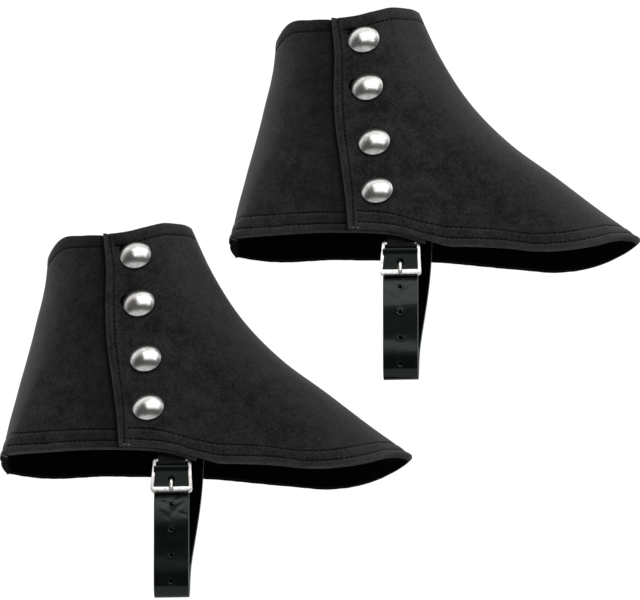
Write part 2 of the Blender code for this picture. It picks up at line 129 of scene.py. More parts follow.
class Signal:
    """A shader socket that takes part in Python arithmetic by adding Math nodes."""

    def __init__(self, shading: Shading, socket: bpy.types.NodeSocket) -> None:
        """Keeps the socket and the shading it belongs to."""
        self.shading = shading
        self.socket = socket

    def _math(self, operation: str, *values: Any) -> Signal:
        """The result of one Math node on these values."""
        return self.shading.math(operation, *values)

    def __add__(self, other: Any) -> Signal:
        """Sum."""
        return self._math("ADD", self, other)

    __radd__ = __add__

    def __sub__(self, other: Any) -> Signal:
        """Difference."""
        return self._math("SUBTRACT", self, other)

    def __rsub__(self, other: Any) -> Signal:
        """Difference from a plain number."""
        return self._math("SUBTRACT", other, self)

    def __mul__(self, other: Any) -> Signal:
        """Product."""
        return self._math("MULTIPLY", self, other)

    __rmul__ = __mul__

    def __pow__(self, other: Any) -> Signal:
        """Power."""
        return self._math("POWER", self, other)

    def between(self, low: float, high: float) -> Signal:
        """A soft step from 0 below low to 1 above high."""
        values = {"Value": self, "From Min": low, "From Max": high}
        node = self.shading.node("ShaderNodeMapRange", {"interpolation_type": "SMOOTHSTEP"}, values)
        return Signal(self.shading, node.outputs["Result"])


class Shading:
    """Builds the node tree of one material."""

    def __init__(self, name: str) -> None:
        """Starts a material with an empty tree and its output."""
        self.material = bpy.data.materials.new(name)
        self.material.use_nodes = True
        self.tree = self.material.node_tree
        self.tree.nodes.clear()
        self.output = self.node("ShaderNodeOutputMaterial")

    def node(self, kind: str, settings: dict[str, Any] | None = None, values: dict[Any, Any] | None = None) -> Any:
        """Adds a node.

        Args:
            kind: The node's type.
            settings: Its properties, set first. "stops" holds a ramp's (place, colour) pairs.
            values: Its inputs by name or index, each a plain value, a socket or a Signal.

        Returns:
            The new node.
        """
        made = self.tree.nodes.new(kind)
        for key, value in (settings or {}).items():
            if key == "stops":
                self._set_stops(made.color_ramp, value)
            else:
                setattr(made, key, value)
        for key, value in (values or {}).items():
            self._feed(made.inputs[key], value)
        return made

    def _set_stops(self, ramp: Any, stops: Sequence[tuple[float, Sequence[float]]]) -> None:
        """Gives a colour ramp its stops."""
        while len(ramp.elements) < len(stops):
            ramp.elements.new(0.5)
        for element, (place, colour) in zip(ramp.elements, stops):
            element.position = place
            element.color = (*colour, 1.0)

    def _feed(self, socket: bpy.types.NodeSocket, value: Any) -> None:
        """Links a socket or sets its plain value."""
        if isinstance(value, Signal):
            value = value.socket
        if isinstance(value, bpy.types.NodeSocket):
            self.tree.links.new(value, socket)
        elif socket.type == "RGBA" and len(value) == 3:
            socket.default_value = (*value, 1.0)
        else:
            socket.default_value = value

    def math(self, operation: str, *values: Any) -> Signal:
        """The result of a Math node."""
        made = self.node("ShaderNodeMath", {"operation": operation}, dict(enumerate(values)))
        return Signal(self, made.outputs[0])

    def mixed(self, factor: Any, first: Any, second: Any) -> bpy.types.NodeSocket:
        """A colour between two colours."""
        settings = {"data_type": "RGBA"}
        made = self.node("ShaderNodeMix", settings, {0: factor, 6: first, 7: second})
        return made.outputs[2]

    def place(self) -> bpy.types.NodeSocket:
        """Object coordinates."""
        return self.node("ShaderNodeTexCoord").outputs["Object"]

    def stretched(self, scale: Sequence[float], turn: Sequence[float] = (0, 0, 0)) -> bpy.types.NodeSocket:
        """Object coordinates, turned and scaled along each axis."""
        values = {"Vector": self.place(), "Rotation": turn, "Scale": scale}
        return self.node("ShaderNodeMapping", None, values).outputs["Vector"]

    def noise(self, size: float, detail: float = 2.0, rough: float = 0.5, where: Any = None) -> Signal:
        """Soft noise with features of about the given size in metres."""
        values = {"Vector": where or self.place(), "Scale": 1 / size, "Detail": detail, "Roughness": rough}
        return Signal(self, self.node("ShaderNodeTexNoise", None, values).outputs[0])

    def attribute(self, name: str) -> Signal:
        """A number kept on the piece's own points."""
        return Signal(self, self.node("ShaderNodeAttribute", {"attribute_name": name}).outputs["Fac"])

    def bump(self, height: Any, distance: float, strength: float = 1.0) -> bpy.types.NodeSocket:
        """A normal bent by a height signal; distance is its full height in metres."""
        values = {"Height": height, "Distance": distance, "Strength": strength}
        return self.node("ShaderNodeBump", None, values).outputs["Normal"]

    def finish(self, values: dict[str, Any]) -> bpy.types.Material:
        """Closes the tree with a Principled shader that takes these values."""
        shader = self.node("ShaderNodeBsdfPrincipled", None, values)
        self._feed(self.output.inputs["Surface"], shader.outputs[0])
        return self.material


WORN_AND_HIGHLIGHT = "worn_and_highlight"
PAINTED_SHADE = "painted_shade"


@dataclass(frozen=True)
class Felt:
    """Brushed black wool felt: mottled and napped, lighter along its folded edges, with painted highlight and sheen
    along the lap, stitches and seams, and darker with painted shade in the stitch grooves and beside the lap.
    """

    deep: tuple[float, float, float] = (0.0040, 0.0040, 0.0042)
    light: tuple[float, float, float] = (0.0360, 0.0355, 0.0350)
    worn_and_highlight: tuple[float, float, float] = (0.060, 0.059, 0.058)
    painted_shade: tuple[float, float, float] = (0.0010, 0.0010, 0.0011)
    mottle: float = 9 * MM
    clump: float = 2.2 * MM
    nap: float = 0.9 * MM
    nap_height: float = 0.30 * MM
    sheen: float = 0.16

    def material(self, name: str) -> bpy.types.Material:
        """The felt of the outer faces."""
        s = Shading(name)
        broad = s.noise(self.mottle, 3, 0.6)
        clumps = s.noise(self.clump, 3, 0.65)
        nap = s.noise(self.nap, 2, 0.7)
        tone = (0.28 * broad + 0.30 * clumps + 0.42 * nap).between(0.38, 0.64)
        cloth = s.mixed(tone, self.deep, self.light)
        # Painted highlight and sheen: the cloth is lightened along the lap's edge, beside the stitch rows and near the
        # seams, together with the lighter hem and top folds.
        streaked = s.mixed(s.attribute(WORN_AND_HIGHLIGHT) * (0.55 + 0.9 * clumps), cloth, self.worn_and_highlight)
        # Painted shade: darkened in the stitch grooves and on the back panel beside the lap.
        colour = s.mixed(s.attribute(PAINTED_SHADE), streaked, self.painted_shade)
        height = 0.6 * nap + 0.4 * clumps
        return s.finish(
            {
                "Base Color": colour,
                "Roughness": 0.84 + 0.14 * nap,
                "Specular IOR Level": 0.18,
                "Sheen Weight": self.sheen,
                "Sheen Roughness": 0.45,
                "Sheen Tint": (0.85, 0.86, 0.90),
                "Normal": s.bump(height, self.nap_height),
            }
        )


@dataclass(frozen=True)
class ShadedInnerFelt:
    """The unbrushed inner face of the cloth, made deep black as painted shade: far darker than the outer felt, so the
    inside reads as shaded.
    """

    deep: tuple[float, float, float] = (0.0012, 0.0012, 0.0013)
    light: tuple[float, float, float] = (0.0030, 0.0030, 0.0031)
    clump: float = 1.4 * MM
    height: float = 0.12 * MM

    def material(self, name: str) -> bpy.types.Material:
        """The felt of the inner faces."""
        s = Shading(name)
        clumps = s.noise(self.clump, 3, 0.6)
        colour = s.mixed(clumps.between(0.35, 0.65), self.deep, self.light)
        return s.finish(
            {
                "Base Color": colour,
                "Roughness": 0.92 + 0.08 * clumps,
                "Specular IOR Level": 0.05,
                "Normal": s.bump(clumps, self.height),
            }
        )


@dataclass(frozen=True)
class Thread:
    """Twisted black sewing thread."""

    dark: tuple[float, float, float] = (0.0006, 0.0006, 0.0006)
    light: tuple[float, float, float] = (0.0018, 0.0018, 0.0019)
    ply: float = 0.30 * MM

    def material(self, name: str) -> bpy.types.Material:
        """The thread of the stitches."""
        s = Shading(name)
        ply = s.noise(self.ply, 1, 0.5)
        return s.finish(
            {
                "Base Color": s.mixed(ply.between(0.3, 0.7), self.dark, self.light),
                "Roughness": 0.72 + 0.2 * ply,
                "Specular IOR Level": 0.08,
                "Normal": s.bump(ply, 0.06 * MM),
            }
        )


@dataclass(frozen=True)
class Nickel:
    """Satin-polished nickel plate with faint streaks of rubbing."""

    bright: tuple[float, float, float] = (0.86, 0.85, 0.83)
    dull: tuple[float, float, float] = (0.62, 0.60, 0.575)
    roughness: float = 0.22
    marks: float = 1.1 * MM

    def material(self, name: str) -> bpy.types.Material:
        """The plated metal."""
        s = Shading(name)
        cloud = s.noise(3.5 * MM, 3, 0.6)
        streaked = s.noise(self.marks, 2, 0.6, s.stretched((1.0, 1.0, 5.0), (0.3, 0.2, 0.6)))
        return s.finish(
            {
                "Base Color": s.mixed(cloud.between(0.35, 0.7), self.bright, self.dull),
                "Metallic": 1.0,
                "Roughness": self.roughness + 0.10 * (cloud - 0.5) + 0.06 * streaked,
                "Normal": s.bump(streaked, 0.012 * MM),
            }
        )


@dataclass(frozen=True)
class GlossyLeather:
    """Black-green leather with a glossy finish, fine grain and scuffs, paler on its marked cut edges: partly the cut
    leather's own colour, partly painted highlight.
    """

    dark: tuple[float, float, float] = (0.0010, 0.0018, 0.0013)
    light: tuple[float, float, float] = (0.0034, 0.0060, 0.0046)
    # Pale colour of the cut edges, used also as painted highlight on them.
    cut: tuple[float, float, float] = (0.17, 0.19, 0.18)
    grain: float = 0.9 * MM

    def material(self, name: str) -> bpy.types.Material:
        """The finished leather, paler on the marked cut edges, which is partly painted highlight."""
        s = Shading(name)
        cloud = s.noise(7 * MM, 3, 0.6)
        cells = s.node("ShaderNodeTexVoronoi", {"feature": "SMOOTH_F1"}, {"Vector": s.place(), "Scale": 1 / self.grain})
        grain = Signal(s, cells.outputs["Distance"])
        fine = s.noise(0.35 * MM, 2, 0.6)
        body = s.mixed(cloud.between(0.3, 0.75), self.dark, self.light)
        worn_and_highlight = s.attribute(WORN_AND_HIGHLIGHT)
        return s.finish(
            {
                "Base Color": s.mixed(worn_and_highlight, body, self.cut),
                "Roughness": 0.15 + 0.10 * cloud + 0.45 * worn_and_highlight,
                "Specular IOR Level": 0.32,
                "Specular Tint": (0.78, 1.0, 0.88),
                "Coat Weight": 0.24 * (1 - worn_and_highlight),
                "Coat Roughness": 0.07,
                "Normal": s.bump(0.75 * grain + 0.25 * fine, 0.022 * MM),
            }
        )


@dataclass(frozen=True)
class PlainLeather:
    """Dull black leather of the buckle's tab."""

    dark: tuple[float, float, float] = (0.0020, 0.0020, 0.0022)
    light: tuple[float, float, float] = (0.0070, 0.0068, 0.0070)
    grain: float = 0.8 * MM

    def material(self, name: str) -> bpy.types.Material:
        """The tab's leather."""
        s = Shading(name)
        cloud = s.noise(4 * MM, 3, 0.6)
        cells = s.node("ShaderNodeTexVoronoi", {"feature": "SMOOTH_F1"}, {"Vector": s.place(), "Scale": 1 / self.grain})
        grain = Signal(s, cells.outputs["Distance"])
        return s.finish(
            {
                "Base Color": s.mixed(cloud.between(0.3, 0.7), self.dark, self.light),
                "Roughness": 0.48 + 0.2 * cloud,
                "Specular IOR Level": 0.25,
                "Normal": s.bump(grain, 0.06 * MM),
            }
        )


class Slot(Enum):
    """Names for the material slots."""

    FELT = "felt"
    STRAP = "strap_leather"
    TAB = "tab_leather"
    METAL = "nickel"


@dataclass(frozen=True)
class Finishes:
    """One material for each finish, shared by both spats."""

    felt: bpy.types.Material
    inner_felt: bpy.types.Material
    thread: bpy.types.Material
    thread_end: bpy.types.Material
    nickel: bpy.types.Material
    strap: bpy.types.Material
    tab: bpy.types.Material

    @classmethod
    def made(cls) -> Finishes:
        """Makes every finish."""
        return cls(
            felt=Felt().material("brushed_felt"),
            inner_felt=ShadedInnerFelt().material("inner_felt"),
            thread=Thread().material("black_thread"),
            thread_end=Thread((0.22, 0.21, 0.20), (0.42, 0.40, 0.38)).material("pale_thread"),
            nickel=Nickel().material("satin_nickel"),
            strap=GlossyLeather().material("glossy_leather"),
            tab=PlainLeather().material("plain_leather"),
        )


@dataclass(frozen=True)
class Stand:
    """One spat of the pair: its name and where its own frame is moved to."""

    name: str
    move: Vector


def add_piece(
    stand: Stand, name: str, shape: bmesh.types.BMesh, finishes: Sequence[bpy.types.Material]
) -> Any:
    """Makes a finished piece that rides on the body.

    Args:
        stand: The spat that it belongs to.
        name: The piece's name within its spat.
        shape: Its mesh in the spat's own frame, kept for the other spat.
        finishes: Its materials, by face index.

    Returns:
        The new object.
    """
    mesh = bpy.data.meshes.new(f"{stand.name}_{name}")
    shape.to_mesh(mesh)
    mesh.transform(Matrix.Translation(stand.move))
    for finish in finishes:
        mesh.materials.append(finish)
    mesh.shade_smooth()
    made = bpy.data.objects.new(mesh.name, mesh)
    bpy.context.scene.collection.objects.link(made)
    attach(made, BODY)
    log.info("%s: %d faces", made.name, len(mesh.polygons))
    return made


@dataclass(frozen=True)
class Section:
    """One level of a spat: its seams, round ends and lap."""

    level: float
    back_x: float
    back_z: float
    front_x: float
    front_z: float
    seams: float
    back_round: float
    front_round: float
    lap: float


@dataclass(frozen=True)
class Depth:
    """How deep the walls stand from the seams at one share of the way forward."""

    share: float
    outer_top: float
    outer_hem: float
    inner_top: float
    inner_hem: float


@dataclass(frozen=True)
class EdgeLine:
    """How far the top edge and hem leave the straight line between the seams."""

    share: float
    top: float
    outer_hem: float
    inner_hem: float


@dataclass(frozen=True)
class Fold:
    """A soft dent (minus) or swell (plus) of the cloth."""

    around: float
    level: float
    round_spread: float
    level_spread: float
    height: float


@dataclass(frozen=True)
class Button:
    """A snap button's level and distance from the lap's edge, and the way its cap faces in degrees."""

    level: float
    from_lap: float
    raised: float
    aside: float

    @property
    def axis(self) -> Array:
        """Unit vector out of the cap: raised above the level, and turned aside towards the toe."""
        raised, aside = math.radians(self.raised), math.radians(self.aside)
        flat = math.cos(raised)
        return np.array((math.sin(aside) * flat, -math.cos(aside) * flat, math.sin(raised)))


SECTIONS = (
    Section(0.00, -0.0406, 0.1225, 0.0400, 0.1388, 0.0090, 0.034, 0.036, -0.0085),
    Section(0.15, -0.0420, 0.1065, 0.0514, 0.1125, 0.0080, 0.030, 0.034, -0.0066),
    Section(0.33, -0.0464, 0.0848, 0.0689, 0.0830, 0.0060, 0.024, 0.032, -0.0066),
    Section(0.50, -0.0510, 0.0642, 0.0907, 0.0585, 0.0035, 0.019, 0.032, -0.0054),
    Section(0.67, -0.0560, 0.0435, 0.1158, 0.0378, 0.0010, 0.014, 0.034, -0.0027),
    Section(0.85, -0.0616, 0.0198, 0.1416, 0.0160, -0.0015, 0.010, 0.037, 0.0003),
    Section(1.00, -0.0655, 0.0000, 0.1629, -0.0009, -0.0040, 0.0025, 0.040, 0.0020),
)
DEPTHS = (
    Depth(0.00, 0.0240, 0.0150, 0.0240, 0.0180),
    Depth(0.06, 0.0235, 0.0220, 0.0240, 0.0190),
    Depth(0.14, 0.0230, 0.0270, 0.0240, 0.0196),
    Depth(0.26, 0.0222, 0.0295, 0.0235, 0.0198),
    Depth(0.42, 0.0215, 0.0285, 0.0225, 0.0190),
    Depth(0.56, 0.0205, 0.0245, 0.0215, 0.0180),
    Depth(0.80, 0.0185, 0.0225, 0.0195, 0.0175),
    Depth(1.00, 0.0175, 0.0215, 0.0185, 0.0165),
)
EDGES = (
    EdgeLine(0.00, 0.0000, 0.0000, 0.0000),
    EdgeLine(0.08, 0.0047, -0.0014, -0.0030),
    EdgeLine(0.26, 0.0028, -0.0017, -0.0026),
    EdgeLine(0.42, -0.0002, -0.0040, -0.0041),
    EdgeLine(0.50, -0.0010, -0.0088, -0.0053),
    EdgeLine(0.58, -0.0010, -0.0098, -0.0070),
    EdgeLine(0.68, -0.0002, -0.0101, -0.0098),
    EdgeLine(0.80, 0.0012, -0.0120, -0.0125),
    EdgeLine(0.90, 0.0011, -0.0076, -0.0091),
    EdgeLine(0.95, 0.0010, -0.0030, -0.0051),
    EdgeLine(1.00, 0.0000, 0.0000, 0.0000),
)
FOLDS = (
    Fold(-0.34, 0.45, 0.060, 0.26, -0.0016),
    Fold(-0.56, 0.46, 0.060, 0.06, -0.0012),
    Fold(-0.55, 0.70, 0.060, 0.06, -0.0010),
    Fold(-0.57, 0.98, 0.040, 0.14, 0.0018),
    Fold(-0.66, 0.95, 0.030, 0.12, -0.0010),
    Fold(-0.20, 0.72, 0.070, 0.12, 0.0012),
    Fold(0.36, 0.40, 0.070, 0.24, -0.0015),
    Fold(0.58, 0.97, 0.045, 0.15, 0.0015),
    Fold(0.24, 0.75, 0.070, 0.12, 0.0010),
)
BUTTONS = (
    Button(0.106, 0.0165, 15.0, -4.0),
    Button(0.311, 0.0182, 15.0, -6.0),
    Button(0.577, 0.0200, 16.0, -5.0),
    Button(0.817, 0.0179, 18.0, -5.0),
)


@dataclass(frozen=True)
class SpatForm:
    """The filled-out form of one spat's cloth, as the solids have it.

    Places are (around, level): around runs from -1 at the front seam over the outer side to 0 at the back seam
    and on over the inner side to 1; level runs from 0 at the top edge to 1 at the hem.
    """

    felt: float = 2.0 * MM
    turned_layer: float = 1.6 * MM
    piece_gap: float = 0.3 * MM
    seam_gap: float = 0.36 * MM
    sewn_gap: float = 0.48 * MM
    top_turn: float = 8 * MM
    hem_turn: float = 12 * MM
    turn_slope: float = 1.2 * MM
    underlap_top: float = 29 * MM
    underlap_hem: float = 43 * MM
    ramp_start: float = 1.5 * MM
    lap_ramp: float = 14 * MM
    top_fade: float = 4.0
    hem_fade: float = 3.0

    def section(self, column: str, level: Array) -> Array:
        """A column of the section table at any level."""
        return curve([row.level for row in SECTIONS], [getattr(row, column) for row in SECTIONS], level)

    def depth(self, column: str, share: Array) -> Array:
        """A column of the depth table at any share of the way forward."""
        return curve([row.share for row in DEPTHS], [getattr(row, column) for row in DEPTHS], share)

    def edge(self, column: str, share: Array) -> Array:
        """A column of the edge table at any share of the way forward."""
        return curve([row.share for row in EDGES], [getattr(row, column) for row in EDGES], share)

    def round_end(self, distance: Array, length: Array) -> Array:
        """How far a round end has opened, from 0 at its tip to 1."""
        rest = 1 - np.clip(distance / length, 0.0, 1.0)
        return np.sqrt(1 - rest * rest)

    def face(self, around: Any, level: Any) -> Array:
        """Points on the outer face of the body cloth."""
        around, level = np.broadcast_arrays(np.asarray(around, float), np.asarray(level, float))
        share = (1 - np.cos(math.pi * around)) / 2
        side = np.where(np.sin(math.pi * around) < 0, -1.0, 1.0)
        back_x = self.section("back_x", level)
        length = self.section("front_x", level) - back_x
        hem = np.where(side < 0, self.edge("outer_hem", share), self.edge("inner_hem", share))
        z = (
            self.section("back_z", level) * (1 - share)
            + self.section("front_z", level) * share
            + self.edge("top", share) * np.clip(1 - level, 0, 1) ** self.top_fade
            + hem * np.clip(level, 0, None) ** self.hem_fade
        )
        outer = self.depth("outer_top", share) * (1 - level) + self.depth("outer_hem", share) * level
        inner = self.depth("inner_top", share) * (1 - level) + self.depth("inner_hem", share) * level
        half = np.where(side < 0, outer, inner)
        for fold in FOLDS:
            across = (around - fold.around) / fold.round_spread
            down = (level - fold.level) / fold.level_spread
            half = half + fold.height * np.exp(-(across**2) - down**2)
        half = half * self.round_end(share * length, self.section("back_round", level))
        half = half * self.round_end((1 - share) * length, self.section("front_round", level))
        return np.stack([back_x + share * length, self.section("seams", level) + side * half, z], -1)

    def normal(self, around: Any, level: Any) -> Array:
        """Unit vectors out of the cloth."""
        small = 1e-4
        along = self.face(around + small, level) - self.face(around - small, level)
        down = self.face(around, level + small) - self.face(around, level - small)
        out = np.cross(along, down)
        return out / np.linalg.norm(out, axis=-1, keepdims=True)

    def point(self, around: Any, level: Any, out: Any) -> Array:
        """Points at a distance out of the cloth's outer face."""
        return self.face(around, level) + self.normal(around, level) * np.asarray(out, float)[..., None]

    def drop(self, around: Array) -> Array:
        """Length of the cloth from the top edge to the hem."""
        levels = np.linspace(0, 1, 13).reshape(-1, *[1] * np.ndim(around))
        line = self.face(np.asarray(around)[None], levels)
        return np.linalg.norm(np.diff(line, axis=0), axis=-1).sum(0)

    def stretch(self, around: Array, level: Array) -> Array:
        """Length along the level for each unit of around."""
        small = 1e-4
        return np.linalg.norm(self.face(around + small, level) - self.face(around, level), axis=-1) / small

    def around_at_x(self, x: Any, level: Array, side: int) -> Array:
        """Where a level passes a place along the foot, on the outer (-1) or inner (1) side."""
        back_x = self.section("back_x", level)
        share = (x - back_x) / (self.section("front_x", level) - back_x)
        return side * np.arccos(np.clip(1 - 2 * share, -1, 1)) / math.pi

    def back_seam(self, level: Array, side: int) -> Array:
        """The panel edge at the back seam."""
        return side * self.seam_gap / 2 / self.stretch(np.zeros_like(level), level)

    def front_seam(self, level: Array, side: int) -> Array:
        """The panel edge at the front seam."""
        return side * (1 - self.seam_gap / 2 / self.stretch(np.ones_like(level), level))

    def lap_edge(self, level: Array) -> Array:
        """The edge of the front panel on the outer side."""
        return self.around_at_x(self.section("lap", level), level, -1)

    def button_spot(self, button: Button) -> tuple[Array, Array]:
        """The (around, level) of a snap button."""
        level = np.array(button.level)
        return self.around_at_x(self.section("lap", level) + button.from_lap, level, -1), level

    def underlap_width(self, level: Array) -> Array:
        """How far the back panel reaches under the front one."""
        return self.underlap_top + (self.underlap_hem - self.underlap_top) * level

    def underlap_edge(self, level: Array) -> Array:
        """The edge of the back panel under the front one."""
        return self.around_at_x(self.section("lap", level) + self.underlap_width(level), level, -1)

    def lift(self, around: Array, level: Array) -> Array:
        """How far the front panel stands out over the underlap."""
        share = (1 - np.cos(math.pi * around)) / 2
        back_x = self.section("back_x", level)
        x = back_x + share * (self.section("front_x", level) - back_x)
        past = x - self.section("lap", level) - self.underlap_width(level)
        return (self.felt + self.piece_gap) * (1 - eased((past - self.ramp_start) / self.lap_ramp))

    def turned(self, level: Array, drop: Array) -> Array:
        """Thickness of the turned-in layer at the top edge and the hem."""
        at_top = 1 - eased((level * drop - self.top_turn) / self.turn_slope)
        at_hem = 1 - eased(((1 - level) * drop - self.hem_turn) / self.turn_slope)
        return self.turned_layer * np.maximum(at_top, at_hem)


@dataclass(frozen=True)
class Sewing:
    """Where the rows of stitches lie and how they pull the cloth in."""

    top_row: float = 7.2 * MM
    hem_rows: tuple[float, float] = (4.1 * MM, 11.3 * MM)
    lap_row_ends: float = 2.9 * MM
    lap_row_middle: float = 4.6 * MM
    clear_of_lap: float = 5.0 * MM
    pitch: float = 2.8 * MM
    thread_length: float = 2.0 * MM
    thread_width: float = 1.0 * MM
    thread_height: float = 0.40 * MM
    groove_depth: float = 0.70 * MM
    groove_width: float = 0.74 * MM
    roll: float = 0.38 * MM
    pucker: float = 0.20 * MM

    def lap_row(self, level: Array) -> Array:
        """Distance of the lap's stitches from its edge."""
        bow = np.sin(math.pi * np.clip(level, 0, 1)) ** 0.7
        return self.lap_row_ends + (self.lap_row_middle - self.lap_row_ends) * bow


class Side(Enum):
    """The three panels of one spat."""

    BACK = "back_panel"
    FRONT = "front_panel"
    INNER = "inner_panel"


@dataclass
class ClothPanel:
    """One felt panel as a fine wall on its solid's form, with sewn grooves, rolled hems and soft creases."""

    form: SpatForm
    side: Side
    columns: int
    sewing: Sewing = field(default_factory=Sewing)
    middle_rows: int = 66
    rim: float = 0.8 * MM
    cap_radius: float = 8.8 * MM
    heel_columns: int = 12
    seam_sheen: float = 1.15
    seam_sheen_reach: float = 40 * MM
    lap_shade_reach: float = 40 * MM
    follow: float = 0.85
    follow_reach: float = 8 * MM
    seed: int = 3

    @property
    def edges(self) -> tuple[Edge, Edge]:
        """The panel's two upright edges."""
        form = self.form
        if self.side is Side.BACK:
            return lambda v: form.back_seam(v, -1), form.underlap_edge
        if self.side is Side.FRONT:
            return form.lap_edge, lambda v: form.front_seam(v, -1)
        return lambda v: form.back_seam(v, 1), lambda v: form.front_seam(v, 1)

    @property
    def seams(self) -> list[Edge]:
        """Those of its upright edges that are sewn to another panel."""
        return [edge for edge in self.edges if edge not in (self.form.underlap_edge, self.form.lap_edge)]

    def row_places(self) -> tuple[Array, Array]:
        """Distances of the fine rows from the top edge and from the hem."""
        near = np.array([-1.3, -0.8, -0.4, 0.0, 0.4, 0.8, 1.3]) * MM
        edge = np.array([0.0, 1.1, 2.2]) * MM
        top = np.concatenate([edge, [3.6 * MM, 5.0 * MM], self.sewing.top_row + near, [10 * MM, 12 * MM]])
        low, high = self.sewing.hem_rows
        hem = np.concatenate([edge, low + near, [6.6 * MM, 8.2 * MM, 9.2 * MM], high + near, [14 * MM, 16 * MM]])
        return np.sort(top), np.sort(hem)[::-1]

    def rows(self) -> tuple[Array, Array]:
        """For each row its share of the cloth's length, and the distance that is added to that."""
        top, hem = self.row_places()
        share = np.linspace(0, 1, self.middle_rows + 2)[1:-1]
        between = top[-1] * (1 - share) - hem[0] * share
        return np.concatenate([0 * top, share, 0 * hem + 1]), np.concatenate([top, between, -hem])

    def column_shares(self, level: Array, begin: Array, width: Array) -> Array:
        """How far across the panel each column lies, closer together at the lap's stitches."""
        if self.side is not Side.FRONT:
            return np.linspace(0, 1, self.columns + 1)[:, None]
        parts = np.array([0.0, 0.26, 0.5, 0.70, 0.84, 0.92, 1.0, 1.08, 1.16, 1.32, 1.6])
        left = self.columns + 1 - len(parts)
        near = np.concatenate([parts, np.full(left, parts[-1])])[:, None]
        rest = np.concatenate([0 * parts, np.linspace(0, 1, left + 1)[1:]])[:, None]
        near = near * self.sewing.lap_row(level) / self.form.stretch(begin, level) / width
        return near + (1 - near) * rest

    @cached_property
    def grid(self) -> tuple[Array, Array]:
        """The (around, level) of every grid point, as arrays of columns by rows."""
        start, end = self.edges
        shares, added = self.rows()
        level = np.broadcast_to(np.linspace(0, 1, len(shares)), (self.columns + 1, len(shares)))
        for _ in range(2):
            low, high = start(level), end(level)
            around = low + (high - low) * self.column_shares(level, low, np.abs(high - low))
            level = shares + added / self.form.drop(around)
        return around, level

    def from_lap(self, around: Array, level: Array) -> Array:
        """Distance past the lap's edge towards the front."""
        lap = self.form.lap_edge(level)
        return (lap - around) * self.form.stretch(lap, level)

    def relief(self, around: Array, level: Array, drop: Array) -> Array:
        """How far the finished face stands out of the plain one."""
        sewing, form = self.sewing, self.form
        from_top, from_hem = level * drop, (1 - level) * drop
        along = form.face(around, level)[..., 0] + form.face(around, level)[..., 1] * 0.6
        row_share = self.row_share(around, level)
        stitch = 0.78 + 0.22 * np.cos(2 * math.pi * along / sewing.pitch)
        height = -sewing.groove_depth * bump_at(from_top - sewing.top_row, sewing.groove_width) * stitch * row_share
        for row in sewing.hem_rows:
            height = height - sewing.groove_depth * bump_at(from_hem - row, sewing.groove_width) * stitch * row_share
        low, high = sewing.hem_rows
        roll = bump_at(from_hem - low * 0.42, low * 0.36) + 0.55 * bump_at(from_hem - (low + high) / 2, low * 0.55)
        roll = roll + 0.7 * bump_at(from_top - sewing.top_row * 0.45, sewing.top_row * 0.3)
        uneven = 1 + 0.35 * waves(along, (31 * MM, 17 * MM, 11 * MM), self.seed)
        height = height + sewing.roll * roll * uneven
        near_hem = 1 - eased((from_hem - 9 * MM) / (12 * MM))
        height = height + sewing.pucker * near_hem * waves(along, (13 * MM, 8.5 * MM, 6 * MM), self.seed + 1)
        height = height + 0.22 * MM * waves(along + 0.7 * from_hem, (47 * MM, 29 * MM, 21 * MM), self.seed + 2)
        if self.side is Side.FRONT:
            height = height + self.lap_relief(around, level)
        if self.side is Side.BACK:
            hidden = eased(self.from_lap(around, level) / (1.5 * MM) + 1)
            height = height * (1 - hidden) - 0.25 * MM * hidden
        for seam in self.seams:
            away = np.abs(around - seam(level)) * form.stretch(seam(level), level)
            height = height * (1 - 0.9 * bump_at(away, 5 * MM)) - 0.45 * MM * bump_at(away, 1.3 * MM)
        return height

    def row_share(self, around: Array, level: Array) -> Array:
        """Where rows of stitches along the edges run: clear of the lap's own row on the front panel."""
        if self.side is not Side.FRONT:
            return np.ones_like(level)
        return eased((self.from_lap(around, level) - self.sewing.clear_of_lap) / (0.8 * MM) + 0.5)

    def lap_relief(self, around: Array, level: Array) -> Array:
        """The welt and groove along the lap, and the dents round the snap caps."""
        away, row = self.from_lap(around, level), self.sewing.lap_row(level)
        up = self.form.face(around, level)[..., 2]
        stitch = 0.8 + 0.2 * np.cos(2 * math.pi * up / self.sewing.pitch)
        height = -1.15 * self.sewing.groove_depth * bump_at(away - row, self.sewing.groove_width) * stitch
        height = height + 0.16 * MM * bump_at(away - row * 0.42, row * 0.34)
        points = self.form.face(around, level)
        for button in BUTTONS:
            spot = self.form.button_spot(button)
            centre, out = self.form.face(*spot), self.form.normal(*spot)
            reach = np.linalg.norm(points - centre, axis=-1)
            rising = -(points - centre) @ (button.axis / (button.axis @ out) - out)
            height = height + self.follow * rising * (1 - eased((reach - self.cap_radius) / self.follow_reach))
            height = height - 0.35 * MM * (1 - eased((reach - self.cap_radius + 1 * MM) / (3.2 * MM)))
        return height

    def wear_and_highlight(self, around: Array, level: Array, drop: Array) -> Array:
        """Where the colour is lighter: along the hem and top folds, painted highlight along the lap's edge and on the
        ridges beside the stitches, and painted sheen near the seams, strongest towards the hem.
        """
        from_top, from_hem = level * drop, (1 - level) * drop
        beside = 1.5 * self.sewing.groove_width
        worn_and_highlight = 0.34 * bump_at(from_hem, 2.2 * MM) + 0.16 * bump_at(from_top, 2.0 * MM)
        # Painted highlight on the ridges beside the hem rows.
        for row in self.sewing.hem_rows:
            worn_and_highlight = worn_and_highlight + 0.16 * bump_at(np.abs(from_hem - row) - beside, 0.7 * MM) * self.row_share(around, level)
        if self.side is Side.FRONT:
            away = self.from_lap(around, level)
            # Painted highlight along the lap's folded edge.
            worn_and_highlight = worn_and_highlight + 0.75 * bump_at(away - 0.35 * MM, 0.55 * MM)
            # Painted highlight on the ridges beside the lap's stitches.
            worn_and_highlight = worn_and_highlight + 0.16 * bump_at(np.abs(away - self.sewing.lap_row(level)) - beside, 0.7 * MM)
        for seam in self.seams:
            away = np.abs(around - seam(level)) * self.form.stretch(seam(level), level)
